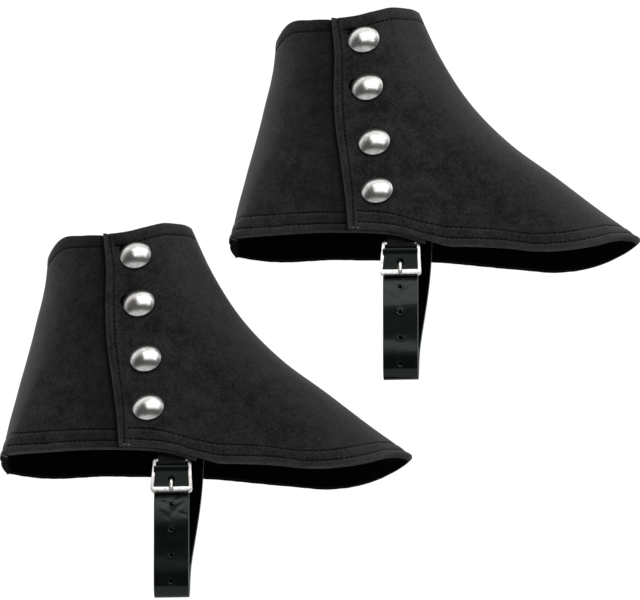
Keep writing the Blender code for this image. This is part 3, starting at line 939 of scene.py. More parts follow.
            # Painted sheen near the seams, where the cloth turns away, stronger towards the hem.
            worn_and_highlight = worn_and_highlight + self.seam_sheen * (1 - eased(away / self.seam_sheen_reach)) * (0.5 + 0.5 * level)
        return np.clip(worn_and_highlight, 0, 1)

    def painted_shade(self, around: Array, level: Array, drop: Array) -> Array:
        """Painted shade: a dark line along each row of stitches and, on the back panel, a painted shadow along the
        lap's step that fades out over the lap shade's reach.
        """
        sewing, points = self.sewing, self.form.face(around, level)
        from_top, from_hem = level * drop, (1 - level) * drop
        # Painted shade along each row of stitches.
        rows = sum(bump_at(from_hem - row, 0.8 * sewing.groove_width) for row in sewing.hem_rows)
        rows = (rows + bump_at(from_top - sewing.top_row, 0.8 * sewing.groove_width)) * self.row_share(around, level)
        if self.side is Side.FRONT:
            rows = rows + bump_at(self.from_lap(around, level) - sewing.lap_row(level), 0.8 * sewing.groove_width)
        if self.side is Side.BACK:
            away = -self.from_lap(around, level)
            # Painted shadow beside the lap's step, and painted shade fading out over the lap shade's reach.
            rows = rows + 1.1 * bump_at(away - 0.6 * MM, 1.5 * MM) + 1.1 * (1 - eased(away / self.lap_shade_reach))
        return np.clip(0.5 * rows, 0, 1)

    @cached_property
    def shape(self) -> bmesh.types.BMesh:
        """The panel's closed wall."""
        around, level = self.grid
        drop = self.form.drop(around)
        lift = self.form.lift(around, level) if self.side is Side.FRONT else np.zeros_like(level)
        layers = self.form.felt + self.turned_share(around, level) * self.form.turned(level, drop)
        outer = self.form.point(around, level, lift + self.relief(around, level, drop))
        inner = self.form.point(around, level, lift - layers)
        marks = {WORN_AND_HIGHLIGHT: self.wear_and_highlight(around, level, drop), PAINTED_SHADE: self.painted_shade(around, level, drop)}
        bm = bmesh.new()
        for name in marks:
            bm.verts.layers.float.new(name)
        bmesh.ops.create_grid(bm, x_segments=around.shape[0] - 1, y_segments=around.shape[1] - 1, size=0.5)
        bmesh.ops.extrude_face_region(bm, geom=bm.faces[:], use_keep_orig=True)
        bm.verts.ensure_lookup_table()
        half = len(bm.verts) // 2
        shares = np.array([(v.co.x + 0.5, v.co.y + 0.5) for v in bm.verts])
        column = np.round(shares[:, 0] * (around.shape[0] - 1)).astype(int)
        row = np.round(shares[:, 1] * (around.shape[1] - 1)).astype(int)
        on_face = np.arange(2 * half) < half
        places = np.where(on_face[:, None], outer[column, row], inner[column, row]).tolist()
        for index, vertex in enumerate(bm.verts):
            vertex.co = places[index]
        for name, mark in marks.items():
            layer, values = bm.verts.layers.float[name], np.where(on_face, mark[column, row], 0.0).tolist()
            for index, vertex in enumerate(bm.verts):
                vertex[layer] = values[index]
        # Inner faces take the shaded inner felt, which is painted shade; on the inner panel and at the heel the rim
        # faces take it too.
        bare = any if self.side is Side.INNER else all
        for face in bm.faces:
            at_heel = self.side is Side.BACK and all(column[v.index] <= self.heel_columns for v in face.verts)
            face.material_index = int((any if at_heel else bare)(v.index >= half for v in face.verts))
        bmesh.ops.recalc_face_normals(bm, faces=bm.faces[:])
        self.round_rim(bm, half)
        return bm

    def build(self, stand: Stand, finishes: Finishes) -> Any:
        """Makes the panel's piece and hides its solid."""
        felts = finishes.felt, finishes.inner_felt
        piece = add_piece(stand, f"{self.side.value}_cloth", self.shape, felts)
        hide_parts(f"{stand.name}_{self.side.value}")
        return piece

    def turned_share(self, around: Array, level: Array) -> Array:
        """Where the turned-in layers lie: all over, but clear of the underlap on the front panel."""
        if self.side is not Side.FRONT:
            return np.ones_like(level)
        return 1 - self.form.lift(around, level) / (self.form.felt + self.form.piece_gap)

    def round_rim(self, bm: bmesh.types.BMesh, half: int) -> None:
        """Rounds the cut and folded edges all round the wall."""
        rim = [e for e in bm.edges if len(e.link_faces) == 2 and self._turns_rim(e, half)]
        bmesh.ops.bevel(
            bm,
            geom=rim,
            offset=self.rim,
            offset_type="OFFSET",
            segments=3,
            profile=0.5,
            affect="EDGES",
            clamp_overlap=True,
            material=-1,
        )

    def _turns_rim(self, edge: bmesh.types.BMEdge, half: int) -> bool:
        """Whether an edge lies between a face of the wall and its rim."""
        outer = edge.verts[0].index < half
        if outer != (edge.verts[1].index < half):
            return False
        on_rim = [any((v.index < half) != outer for v in face.verts) for face in edge.link_faces]
        return on_rim[0] != on_rim[1]

    @cached_property
    def flat_size(self) -> tuple[float, float, float]:
        """Width, length and area of the flat cut of what shows."""
        around, level = self.grid
        points = self.form.face(around, level)
        across, down = np.diff(points, axis=0), np.diff(points, axis=1)
        width = float(np.linalg.norm(across, axis=-1).sum(0).max())
        length = float(np.linalg.norm(down, axis=-1).sum(1).max())
        cells = np.linalg.norm(np.cross(across[:, :-1], down[:-1]), axis=-1)
        return width, length, float(cells.sum())


@dataclass
class Stitching:
    """The rows of thread on one spat: lap, top edge and both hem rows."""

    form: SpatForm
    panels: dict[Side, ClothPanel]
    sewing: Sewing = field(default_factory=Sewing)
    sunk: float = 0.20 * MM
    samples: int = 700

    def edge_row(self, panel: ClothPanel, from_top: float | None, from_hem: float | None) -> Array:
        """The line of a row along the top or the hem of a panel."""
        start, end = panel.edges
        share = np.linspace(0, 1, self.samples)
        level = np.full(self.samples, 0.0 if from_hem is None else 1.0)
        for _ in range(3):
            around = start(level) + (end(level) - start(level)) * share
            drop = self.form.drop(around)
            level = from_top / drop if from_hem is None else 1 - from_hem / drop
        keep = np.ones(self.samples, bool)
        if panel.side is Side.FRONT:
            keep = panel.from_lap(around, level) > self.sewing.clear_of_lap
        if panel.side is Side.BACK:
            keep = panel.from_lap(around, level) < -0.8 * MM
        return self.laid(panel, around[keep], level[keep])

    def lap_row(self, panel: ClothPanel) -> Array:
        """The line of the row along the lap."""
        level = np.linspace(0.008, 0.994, self.samples)
        lap = self.form.lap_edge(level)
        around = lap - self.sewing.lap_row(level) / self.form.stretch(lap, level)
        return self.laid(panel, around, level)

    def laid(self, panel: ClothPanel, around: Array, level: Array) -> Array:
        """Points and normals of a line that lies in the cloth's grooves."""
        lift = self.form.lift(around, level) if panel.side is Side.FRONT else np.zeros_like(level)
        out = lift + panel.relief(around, level, self.form.drop(around)) + self.sewing.thread_height / 2 - self.sunk
        return np.stack([self.form.point(around, level, out), self.form.normal(around, level)], 1)

    def add_row(self, bm: bmesh.types.BMesh, line: Array, seed: int) -> None:
        """Lays one thread dash for each stitch of a row."""
        points, normals = line[:, 0], line[:, 1]
        gone = np.concatenate([[0], np.cumsum(np.linalg.norm(np.diff(points, axis=0), axis=1))])
        count = int(gone[-1] / self.sewing.pitch)
        vary = np.random.default_rng(seed)
        for k in range(count):
            at = (k + 0.5) * gone[-1] / count + vary.uniform(-0.12, 0.12) * MM
            ends = [np.array([np.interp(at + d, gone, points[:, i]) for i in range(3)]) for d in (-1 * MM, 1 * MM)]
            out = Vector([np.interp(at, gone, normals[:, i]) for i in range(3)]).normalized()
            run = Vector(ends[1] - ends[0]).normalized()
            across = out.cross(run).normalized()
            turn = Matrix((run, across, run.cross(across))).transposed().to_4x4()
            middle = Matrix.Translation((Vector(ends[0]) + Vector(ends[1])) / 2)
            size = (
                self.sewing.thread_length * vary.uniform(0.93, 1.05) / 2,
                self.sewing.thread_width * vary.uniform(0.9, 1.1) / 2,
                self.sewing.thread_height / 2,
            )
            skew = Matrix.Rotation(vary.uniform(-0.07, 0.07), 4, "Z")
            matrix = middle @ turn @ skew @ Matrix.Diagonal((*size, 1))
            bmesh.ops.create_icosphere(bm, subdivisions=2, radius=1.0, matrix=matrix)

    @cached_property
    def shapes(self) -> dict[Side, bmesh.types.BMesh]:
        """The thread on each panel."""
        made = {}
        for number, (side, panel) in enumerate(self.panels.items()):
            bm = made[side] = bmesh.new()
            rows = [self.edge_row(panel, self.sewing.top_row, None)]
            rows += [self.edge_row(panel, None, row) for row in self.sewing.hem_rows]
            if side is Side.FRONT:
                rows.append(self.lap_row(panel))
            for row, line in enumerate(rows):
                self.add_row(bm, line, 10 * number + row)
        return made

    def build(self, stand: Stand, finishes: Finishes) -> dict[Side, Any]:
        """Makes the thread pieces of one spat, by panel."""
        return {
            side: add_piece(stand, f"{side.value}_stitches", shape, (finishes.thread,))
            for side, shape in self.shapes.items()
        }


@dataclass
class ThreadEnds:
    """The two short pale ends of thread at the foot of the lap."""

    panel: ClothPanel
    length: float = 1.5 * MM
    thickness: float = 0.45 * MM
    places: tuple[tuple[float, float, float], ...] = ((3.0 * MM, 0.2 * MM, 0.5), (5.4 * MM, 0.1 * MM, -0.3))

    def build(self, stand: Stand, finishes: Finishes) -> Any:
        """Makes the piece: one rounded end for each place past the lap, above the hem and turn."""
        form, bm = self.panel.form, bmesh.new()
        for past, above, turn in self.places:
            level = np.array(1 - above / float(form.drop(form.lap_edge(np.array(1.0)))))
            around = form.lap_edge(level) - past / form.stretch(form.lap_edge(level), level)
            out = form.lift(around, level) + self.thickness / 2
            facing = Vector(form.normal(around, level)).to_track_quat("Y", "Z").to_matrix().to_4x4()
            size = Matrix.Diagonal((self.length / 2, self.thickness / 2, self.thickness / 2, 1))
            matrix = Matrix.Translation(form.point(around, level, out)) @ facing @ Matrix.Rotation(turn, 4, "Y") @ size
            bmesh.ops.create_icosphere(bm, subdivisions=2, radius=1.0, matrix=matrix)
        return add_piece(stand, "thread_ends", bm, (finishes.thread_end,))


@dataclass
class SnapCap:
    """A domed snap cap with a rolled rim, turned on a lathe profile."""

    form: SpatForm
    radius: float = 8.8 * MM
    rise: float = 3.4 * MM
    rim: float = 0.7 * MM
    shank_radius: float = 3.0 * MM
    shank_height: float = 0.4 * MM
    segments: int = 72
    dome_steps: int = 18

    def profile(self) -> list[tuple[float, float]]:
        """Radius and height from the shank under the cap to the top of its dome."""
        base = self.shank_height + self.rim
        lip = self.radius - 0.25 * MM
        points = [(0, 0), (self.shank_radius, 0), (self.shank_radius, self.shank_height)]
        points.append((self.radius - self.rim, self.shank_height))
        for turn in np.linspace(-math.pi / 2, math.pi / 2, 7)[1:-1]:
            roll = self.rim * 0.5
            points.append((self.radius - roll + roll * math.cos(turn), self.shank_height + roll + roll * math.sin(turn)))
        sphere = (lip**2 + self.rise**2) / (2 * self.rise)
        for k in range(self.dome_steps):
            radius = lip * math.cos(math.pi / 2 * k / self.dome_steps)
            points.append((radius, base + self.rise - sphere + math.sqrt(sphere**2 - radius**2)))
        return points + [(0, base + self.rise)]

    def build(self, stand: Stand, number: int, button: Button, finishes: Finishes) -> Any:
        """Makes one cap on the front panel."""
        around, level = self.form.button_spot(button)
        seat = Vector(self.form.point(around, level, self.form.lift(around, level) + self.form.piece_gap))
        bm = bmesh.new()
        corners = [bm.verts.new((radius, 0.0, height)) for radius, height in self.profile()]
        edges = [bm.edges.new(pair) for pair in zip(corners, corners[1:])]
        bmesh.ops.spin(
            bm,
            geom=corners + edges,
            axis=(0, 0, 1),
            cent=(0, 0, 0),
            angle=2 * math.pi,
            steps=self.segments,
            use_merge=True,
        )
        bmesh.ops.remove_doubles(bm, verts=bm.verts[:], dist=1e-6)
        bmesh.ops.recalc_face_normals(bm, faces=bm.faces[:])
        turn = Matrix.Translation(seat) @ Vector(button.axis).to_track_quat("Z", "Y").to_matrix().to_4x4()
        bmesh.ops.transform(bm, matrix=turn, verts=bm.verts[:])
        piece = add_piece(stand, f"snap_cap_{number}", bm, (finishes.nickel,))
        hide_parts(f"{stand.name}_button_{number}")
        return piece


@dataclass(frozen=True)
class Crease:
    """A short ridge (plus) or dent (minus) in the strap's face."""

    across: float
    from_end: float
    turn: float
    length: float
    width: float
    height: float


@dataclass(frozen=True)
class Hanging:
    """Where the strap, tab and buckle of one spat lie, worked out from its hem."""

    form: SpatForm
    strap_x: float = 30.5 * MM
    strap_width: float = 19.5 * MM
    strap_thickness: float = 2.2 * MM
    strap_sewn: float = 10.5 * MM
    strap_drop: float = 76.4 * MM
    strap_lean: float = 6.2 * MM
    hole_count: int = 5
    hole_pitch: float = 15 * MM
    hole_radius: float = 1.25 * MM
    first_hole_radius: float = 1.9 * MM
    first_hole_from_end: float = 7.2 * MM
    tab_width: float = 14.6 * MM
    tab_thickness: float = 1.2 * MM
    tab_slot: float = 3.2 * MM
    wire: float = 1.6 * MM
    lower_bar: float = 2.8 * MM
    frame_depth: float = 2.6 * MM
    frame_inner_width: float = 20.1 * MM
    bars_apart: float = 18.2 * MM
    frame_corner: float = 2.2 * MM
    hinge_below_hem: float = 0.9 * MM
    prong_radius: float = 0.75 * MM

    @cached_property
    def lining(self) -> float:
        """How far the sewn pieces lie in from the cloth's outer face."""
        return -(self.form.felt + self.form.turned_layer + self.form.sewn_gap)

    @cached_property
    def bar_reach(self) -> float:
        """From the middle of a bar to its corner."""
        return math.hypot(self.wire / 2, self.frame_depth / 2)

    @cached_property
    def loop(self) -> float:
        """Radius of the middle of the tab's fold."""
        return self.bar_reach + self.form.piece_gap + self.tab_thickness / 2

    def hem_height(self, x: float, side: int) -> float:
        """Height of the hem inside the cloth, at a place along the foot."""
        level = np.array(1.0)
        return float(self.form.point(self.form.around_at_x(np.array(x), level, side), level, self.lining)[2])

    @cached_property
    def near_hem(self) -> float:
        """Height of the outer hem at the tab."""
        return self.hem_height(self.strap_x + self.tab_width / 2, -1)

    @cached_property
    def far_hem(self) -> float:
        """Height of the inner hem at the strap."""
        return self.hem_height(self.strap_x, 1)

    def inside(self, side: int, x: Any, z: Any) -> Array:
        """Depth of the inside of the cloth near the hem."""
        x, z = np.broadcast_arrays(np.asarray(x, float), np.asarray(z, float))
        level = np.ones_like(z)
        for _ in range(6):
            around = self.form.around_at_x(x, level, side)
            level = level - (z - self.form.point(around, level, self.lining)[..., 2]) / self.form.drop(around)
        return self.form.point(self.form.around_at_x(x, level, side), level, self.lining)[..., 1]

    @cached_property
    def outer_leaf(self) -> float:
        """Depth of the middle of the tab's outer leaf."""
        return float(self.inside(-1, self.strap_x, self.near_hem)) + self.tab_thickness / 2

    @cached_property
    def hinge(self) -> Vector:
        """Depth and height of the middle of the buckle's upper bar."""
        return Vector((self.outer_leaf + self.loop, self.near_hem - self.hinge_below_hem))

    @cached_property
    def foot(self) -> float:
        """Height of the middle of the wire along the frame's foot."""
        return self.hinge.y - self.bars_apart


def rounded(bm: bmesh.types.BMesh, radius: float, segments: int, angle: float = math.radians(45)) -> None:
    """Rounds every edge that turns by more than an angle."""
    sharp = [e for e in bm.edges if len(e.link_faces) == 2 and e.calc_face_angle(0.0) > angle]
    bmesh.ops.bevel(
        bm,
        geom=sharp,
        offset=radius,
        offset_type="OFFSET",
        segments=segments,
        profile=0.5,
        affect="EDGES",
        clamp_overlap=True,
        material=-1,
    )


def cut_with(bm: bmesh.types.BMesh, tool: bmesh.types.BMesh) -> bmesh.types.BMesh:
    """Cuts one closed mesh out of another.

    Args:
        bm: The mesh that is cut; it is freed.
        tool: The mesh that is taken away; it is freed.

    Returns:
        The cut mesh.
    """
    objects = []
    for name, source in (("uncut", bm), ("punch", tool)):
        mesh = bpy.data.meshes.new(name)
        source.to_mesh(mesh)
        source.free()
        objects.append(bpy.data.objects.new(name, mesh))
        bpy.context.scene.collection.objects.link(objects[-1])
    band, punch = objects
    cut = band.modifiers.new("cut", "BOOLEAN")
    cut.operation, cut.solver, cut.object = "DIFFERENCE", "EXACT", punch
    evaluated = band.evaluated_get(bpy.context.evaluated_depsgraph_get())
    result = bmesh.new()
    result.from_mesh(evaluated.to_mesh())
    evaluated.to_mesh_clear()
    for used in objects:
        mesh = used.data
        bpy.data.objects.remove(used)
        bpy.data.meshes.remove(mesh)
    return result


@dataclass
class Ribbon:
    """A flat band along a path of (depth, height), as wide as stated along the foot."""

    x: float
    width: float
    thickness: float
    path: Array
    segments: int
    across_steps: int
    edge_radius: float
    hang: Callable[[Array, Array], Array]
    lean: Callable[[Array], Array]
    relief: Callable[[Array, Array], Array]

    @property
    def gone(self) -> Array:
        """Distance along the path at each of its points."""
        return np.concatenate([[0], np.cumsum(np.linalg.norm(np.diff(self.path, axis=0), axis=1))])

    def on_path(self, share: Array) -> Array:
        """Points of the path's smooth line."""
        knots = self.gone / self.gone[-1]
        return np.stack([curve(knots, self.path[:, 0], share), curve(knots, self.path[:, 1], share)], -1)

    def faces(self, across: Array, along: Array) -> tuple[Array, Array]:
        """Points of the band's outer and inner face."""
        small = 1e-4
        line = self.on_path(along)
        run = self.on_path(along + small) - self.on_path(along - small)
        run = run / np.linalg.norm(run, axis=-1, keepdims=True)
        out = np.stack([run[..., 1], -run[..., 0]], -1)
        offset = (across - 0.5) * self.width
        x = self.x + offset + self.lean(along)
        raised = self.relief(offset, (1 - along) * self.gone[-1])
        made = []
        for height in (self.thickness / 2 + raised, -self.thickness / 2 + raised):
            point = line + out * height[..., None]
            made.append(np.stack([x, point[..., 0] + self.hang(x, point), point[..., 1]], -1))
        return made[0], made[1]

    def mesh(self) -> bmesh.types.BMesh:
        """The band as a closed mesh with rounded edges."""
        bm = bmesh.new()
        bmesh.ops.create_grid(bm, x_segments=self.across_steps, y_segments=self.segments, size=0.5)
        bmesh.ops.extrude_face_region(bm, geom=bm.faces[:], use_keep_orig=True)
        bm.verts.ensure_lookup_table()
        shares = np.array([(v.co.x + 0.5, v.co.y + 0.5) for v in bm.verts])
        outer, inner = self.faces(shares[:, 0], shares[:, 1])
        half = len(bm.verts) // 2
        for index, vertex in enumerate(bm.verts):
            vertex.co = Vector(outer[index] if index < half else inner[index])
        bmesh.ops.recalc_face_normals(bm, faces=bm.faces[:])
        rounded(bm, self.edge_radius, 3)
        return bm


@dataclass
class Strap:
    """The strap under the foot: from inside the inner hem, round below, up behind the lower bar."""

    hanging: Hanging
    segments: int = 250
    across_steps: int = 18
    edge_radius: float = 0.5 * MM
    hollow: float = 0.9 * MM
    hollow_from_end: float = 35 * MM
    hollow_reach: float = 13 * MM
    creases: tuple[Crease, ...] = (
        Crease(-3.6 * MM, 21.5 * MM, 0.35, 3.0 * MM, 0.8 * MM, 0.10 * MM),
        Crease(3.4 * MM, 19.6 * MM, -0.45, 3.2 * MM, 0.7 * MM, 0.12 * MM),
        Crease(4.6 * MM, 23.2 * MM, -0.65, 3.4 * MM, 0.8 * MM, 0.11 * MM),
        Crease(2.2 * MM, 26.4 * MM, -0.9, 2.6 * MM, 0.7 * MM, 0.09 * MM),
        Crease(-4.8 * MM, 25.0 * MM, 0.8, 2.8 * MM, 0.9 * MM, -0.08 * MM),
        Crease(5.8 * MM, 28.2 * MM, 0.5, 2.4 * MM, 0.7 * MM, 0.08 * MM),
        Crease(-1.8 * MM, 30.4 * MM, 1.1, 2.8 * MM, 0.8 * MM, 0.07 * MM),
        Crease(-3.6 * MM, 6.4 * MM, 0.10, 4.6 * MM, 2.0 * MM, 0.26 * MM),
        Crease(5.6 * MM, 7.2 * MM, -0.5, 2.6 * MM, 2.0 * MM, 0.22 * MM),
        Crease(0.6 * MM, 51.0 * MM, 0.1, 2.4 * MM, 0.8 * MM, 0.08 * MM),
    )

    def path(self) -> Array:
        """The strap's line in (depth, height), from its sewn end to its free end."""
        h = self.hanging
        hinge, foot, far_hem = h.hinge, h.foot, h.far_hem
        far_y = float(h.inside(1, h.strap_x, far_hem)) - h.strap_thickness / 2
        behind_bar = hinge.x + h.frame_depth / 2 + h.form.piece_gap + h.strap_thickness / 2
        near_y = behind_bar - 0.0012
        low = hinge.y - h.strap_drop
        return np.array(
            [
                (far_y, far_hem + h.strap_sewn),
                (far_y, far_hem + 0.002),
                (far_y - 0.0008, far_hem - 0.012),
                (far_y - 0.0042, far_hem - 0.028),
                (far_y - 0.0105, far_hem - 0.045),
                (far_y - 0.0190, far_hem - 0.062),
                (near_y + 0.0112, low + 0.0070),
                (near_y + 0.0080, low + 0.0016),
                (near_y + 0.0045, low),
                (near_y + 0.0012, low + 0.0022),
                (near_y, low + 0.0072),
                (near_y + 0.0002, low + 0.0220),
                (near_y + 0.0008, low + 0.0380),
                (behind_bar - 0.0002, foot - 0.0060),
                (behind_bar, foot - 0.0010),
                (behind_bar + 0.0001, foot + 0.0024),
                (hinge.x + 0.0004, foot + 0.0078),
                (hinge.x - 0.0011, foot + 0.0116),
                (hinge.x - 0.0015, hinge.y - 0.0034),
            ]
        )

    def hang(self, x: Array, point: Array) -> Array:
        """Bends the sewn end to the inside of the inner hem."""
        h = self.hanging
        near = eased((point[..., 1] - h.far_hem + 0.02) / 0.02) * (point[..., 0] > 0)
        height = np.maximum(point[..., 1], h.far_hem)
        return near * (h.inside(1, x, height) - h.inside(1, h.strap_x, h.far_hem))

    def lean(self, along: Array) -> Array:
        """Moves the far end forward along the foot."""
        return self.hanging.strap_lean * (1 - eased(along / 0.5))

    def relief(self, offset: Array, from_end: Array) -> Array:
        """Creases, dished holes and the slow waves of well-used leather."""
        h = self.hanging
        height = 0.05 * MM * waves(from_end + 0.1 * offset, (29 * MM, 17 * MM, 10.5 * MM), 5)
        height = height - self.hollow * bump_at(from_end - self.hollow_from_end, self.hollow_reach)
        for crease in self.creases:
            across, down = offset - crease.across, from_end - crease.from_end
            run = across * math.cos(crease.turn) + down * math.sin(crease.turn)
            side = down * math.cos(crease.turn) - across * math.sin(crease.turn)
            height = height + crease.height * np.exp(-((run / crease.length) ** 2) - (side / crease.width) ** 2)
        for k in range(h.hole_count):
            away = np.hypot(offset, from_end - h.first_hole_from_end - k * h.hole_pitch)
            radius = h.hole_radius if k else h.first_hole_radius
            height = height - 0.08 * MM * bump_at(away - radius * 0.8, 0.9 * MM)
        return height * eased(1 - (from_end - 0.09) / 0.02)

    def holes(self, band: Ribbon) -> bmesh.types.BMesh:
        """Round punches down the middle of the strap."""
        h, bm = self.hanging, bmesh.new()
        for k in range(h.hole_count):
            at = 1 - (h.first_hole_from_end + k * h.hole_pitch) / band.gone[-1]
            ends = [Vector((0, *band.on_path(np.array(at + step)))) for step in (-0.005, 0.005)]
            run = (ends[1] - ends[0]).normalized()
            middle = (ends[0] + ends[1]) / 2 + Vector((h.strap_x, 0, 0))
            turn = Vector((0, run.z, -run.y)).to_track_quat("Z", "Y").to_matrix().to_4x4()
            radius = h.hole_radius if k else h.first_hole_radius
            bmesh.ops.create_cone(
                bm,
                cap_ends=True,
                segments=28,
                radius1=radius,
                radius2=radius,
                depth=h.strap_thickness * 3,
                matrix=Matrix.Translation(middle) @ turn,
            )
        return bm

    @cached_property
    def shape(self) -> bmesh.types.BMesh:
        """The punched strap."""
        h = self.hanging
        band = Ribbon(
            x=h.strap_x,
            width=h.strap_width,
            thickness=h.strap_thickness,
            path=self.path(),
            segments=self.segments,
            across_steps=self.across_steps,
            edge_radius=self.edge_radius,
            hang=self.hang,
            lean=self.lean,
            relief=self.relief,
        )
        bm = cut_with(band.mesh(), self.holes(band))
        bm.normal_update()
        worn_and_highlight = bm.verts.layers.float.new(WORN_AND_HIGHLIGHT)
        points = np.array([v.co[:] for v in bm.verts])
        facing = np.array([v.normal.x for v in bm.verts])
        # Only the right cut edge takes the pale cut colour: partly the cut leather's own colour, partly painted
        # highlight.
        side = eased((facing - 0.25) / 0.5) * (points[:, 0] > h.strap_x + 0.45 * h.strap_width)
        # A pale line along the free end's cut edge by the upper bar: painted highlight.
        end = 0.5 * bump_at(points[:, 2] - h.hinge.y + 3.4 * MM, 0.7 * MM) * (points[:, 1] < h.hinge.x + 2 * MM)
        for vertex, value in zip(bm.verts, np.clip(side + end, 0, 1).tolist()):
            vertex[worn_and_highlight] = value
        return bm

    def build(self, stand: Stand, finishes: Finishes) -> Any:
        """Makes the strap's piece."""
        piece = add_piece(stand, "strap_leather", self.shape, (finishes.strap,))
        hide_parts(f"{stand.name}_strap")
        return piece


@dataclass
class Tab:
    """The tab: two layers sewn inside the outer hem, folded round the upper bar."""

    hanging: Hanging
    segments: int = 90
    across_steps: int = 14

    def path(self) -> Array:
        """The tab's line in (depth, height), down the outer leaf, round the bar and up the inner one."""
        h = self.hanging
        hinge, loop, top = h.hinge, h.loop, h.near_hem + h.strap_sewn
        outer, inner = h.outer_leaf, h.outer_leaf + h.tab_thickness + h.form.piece_gap
        turn = [(hinge.x - loop * math.cos(a), hinge.y - loop * math.sin(a)) for a in np.linspace(0.0, math.pi, 9)]
        down = [(outer, top), (outer, h.near_hem + 0.004), (outer, h.near_hem)]
        up = [(inner, h.near_hem + 0.0045), (inner, h.near_hem + 0.007), (inner, top)]
        return np.array(down + turn + up)

    def hang(self, x: Array, point: Array) -> Array:
        """Bends the sewn leaves to the inside of the outer hem."""
        h = self.hanging
        near = eased((point[..., 1] - h.hinge.y) / (h.near_hem - h.hinge.y))
        height = np.maximum(point[..., 1], h.near_hem)
        return near * (h.inside(-1, x, height) - h.inside(-1, h.strap_x, h.near_hem))

    @cached_property
    def shape(self) -> bmesh.types.BMesh:
        """The folded tab with the slot that lets the prong through."""
        h = self.hanging
        band = Ribbon(
            x=h.strap_x,
            width=h.tab_width,
            thickness=h.tab_thickness,
            path=self.path(),
            segments=self.segments,
            across_steps=self.across_steps,
            edge_radius=0.3 * MM,
            hang=self.hang,
            lean=np.zeros_like,
            relief=lambda offset, from_end: 0.04 * MM * waves(offset + from_end, (9 * MM, 5 * MM), 8),
        )
        slot = bmesh.new()
        size = Vector((h.tab_slot, h.loop * 2, h.loop * 2 + 3 * MM))
        at = Matrix.Translation((h.strap_x, h.hinge.x + h.loop * 0.85, h.hinge.y + 0.5 * MM))
        bmesh.ops.create_cube(slot, size=1.0, matrix=at @ Matrix.Diagonal((*size, 1)))
        return cut_with(band.mesh(), slot)

    def build(self, stand: Stand, finishes: Finishes) -> Any:
        """Makes the tab's piece."""
        piece = add_piece(stand, "tab_leather", self.shape, (finishes.tab,))
        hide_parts(f"{stand.name}_buckle_tab")
        return piece


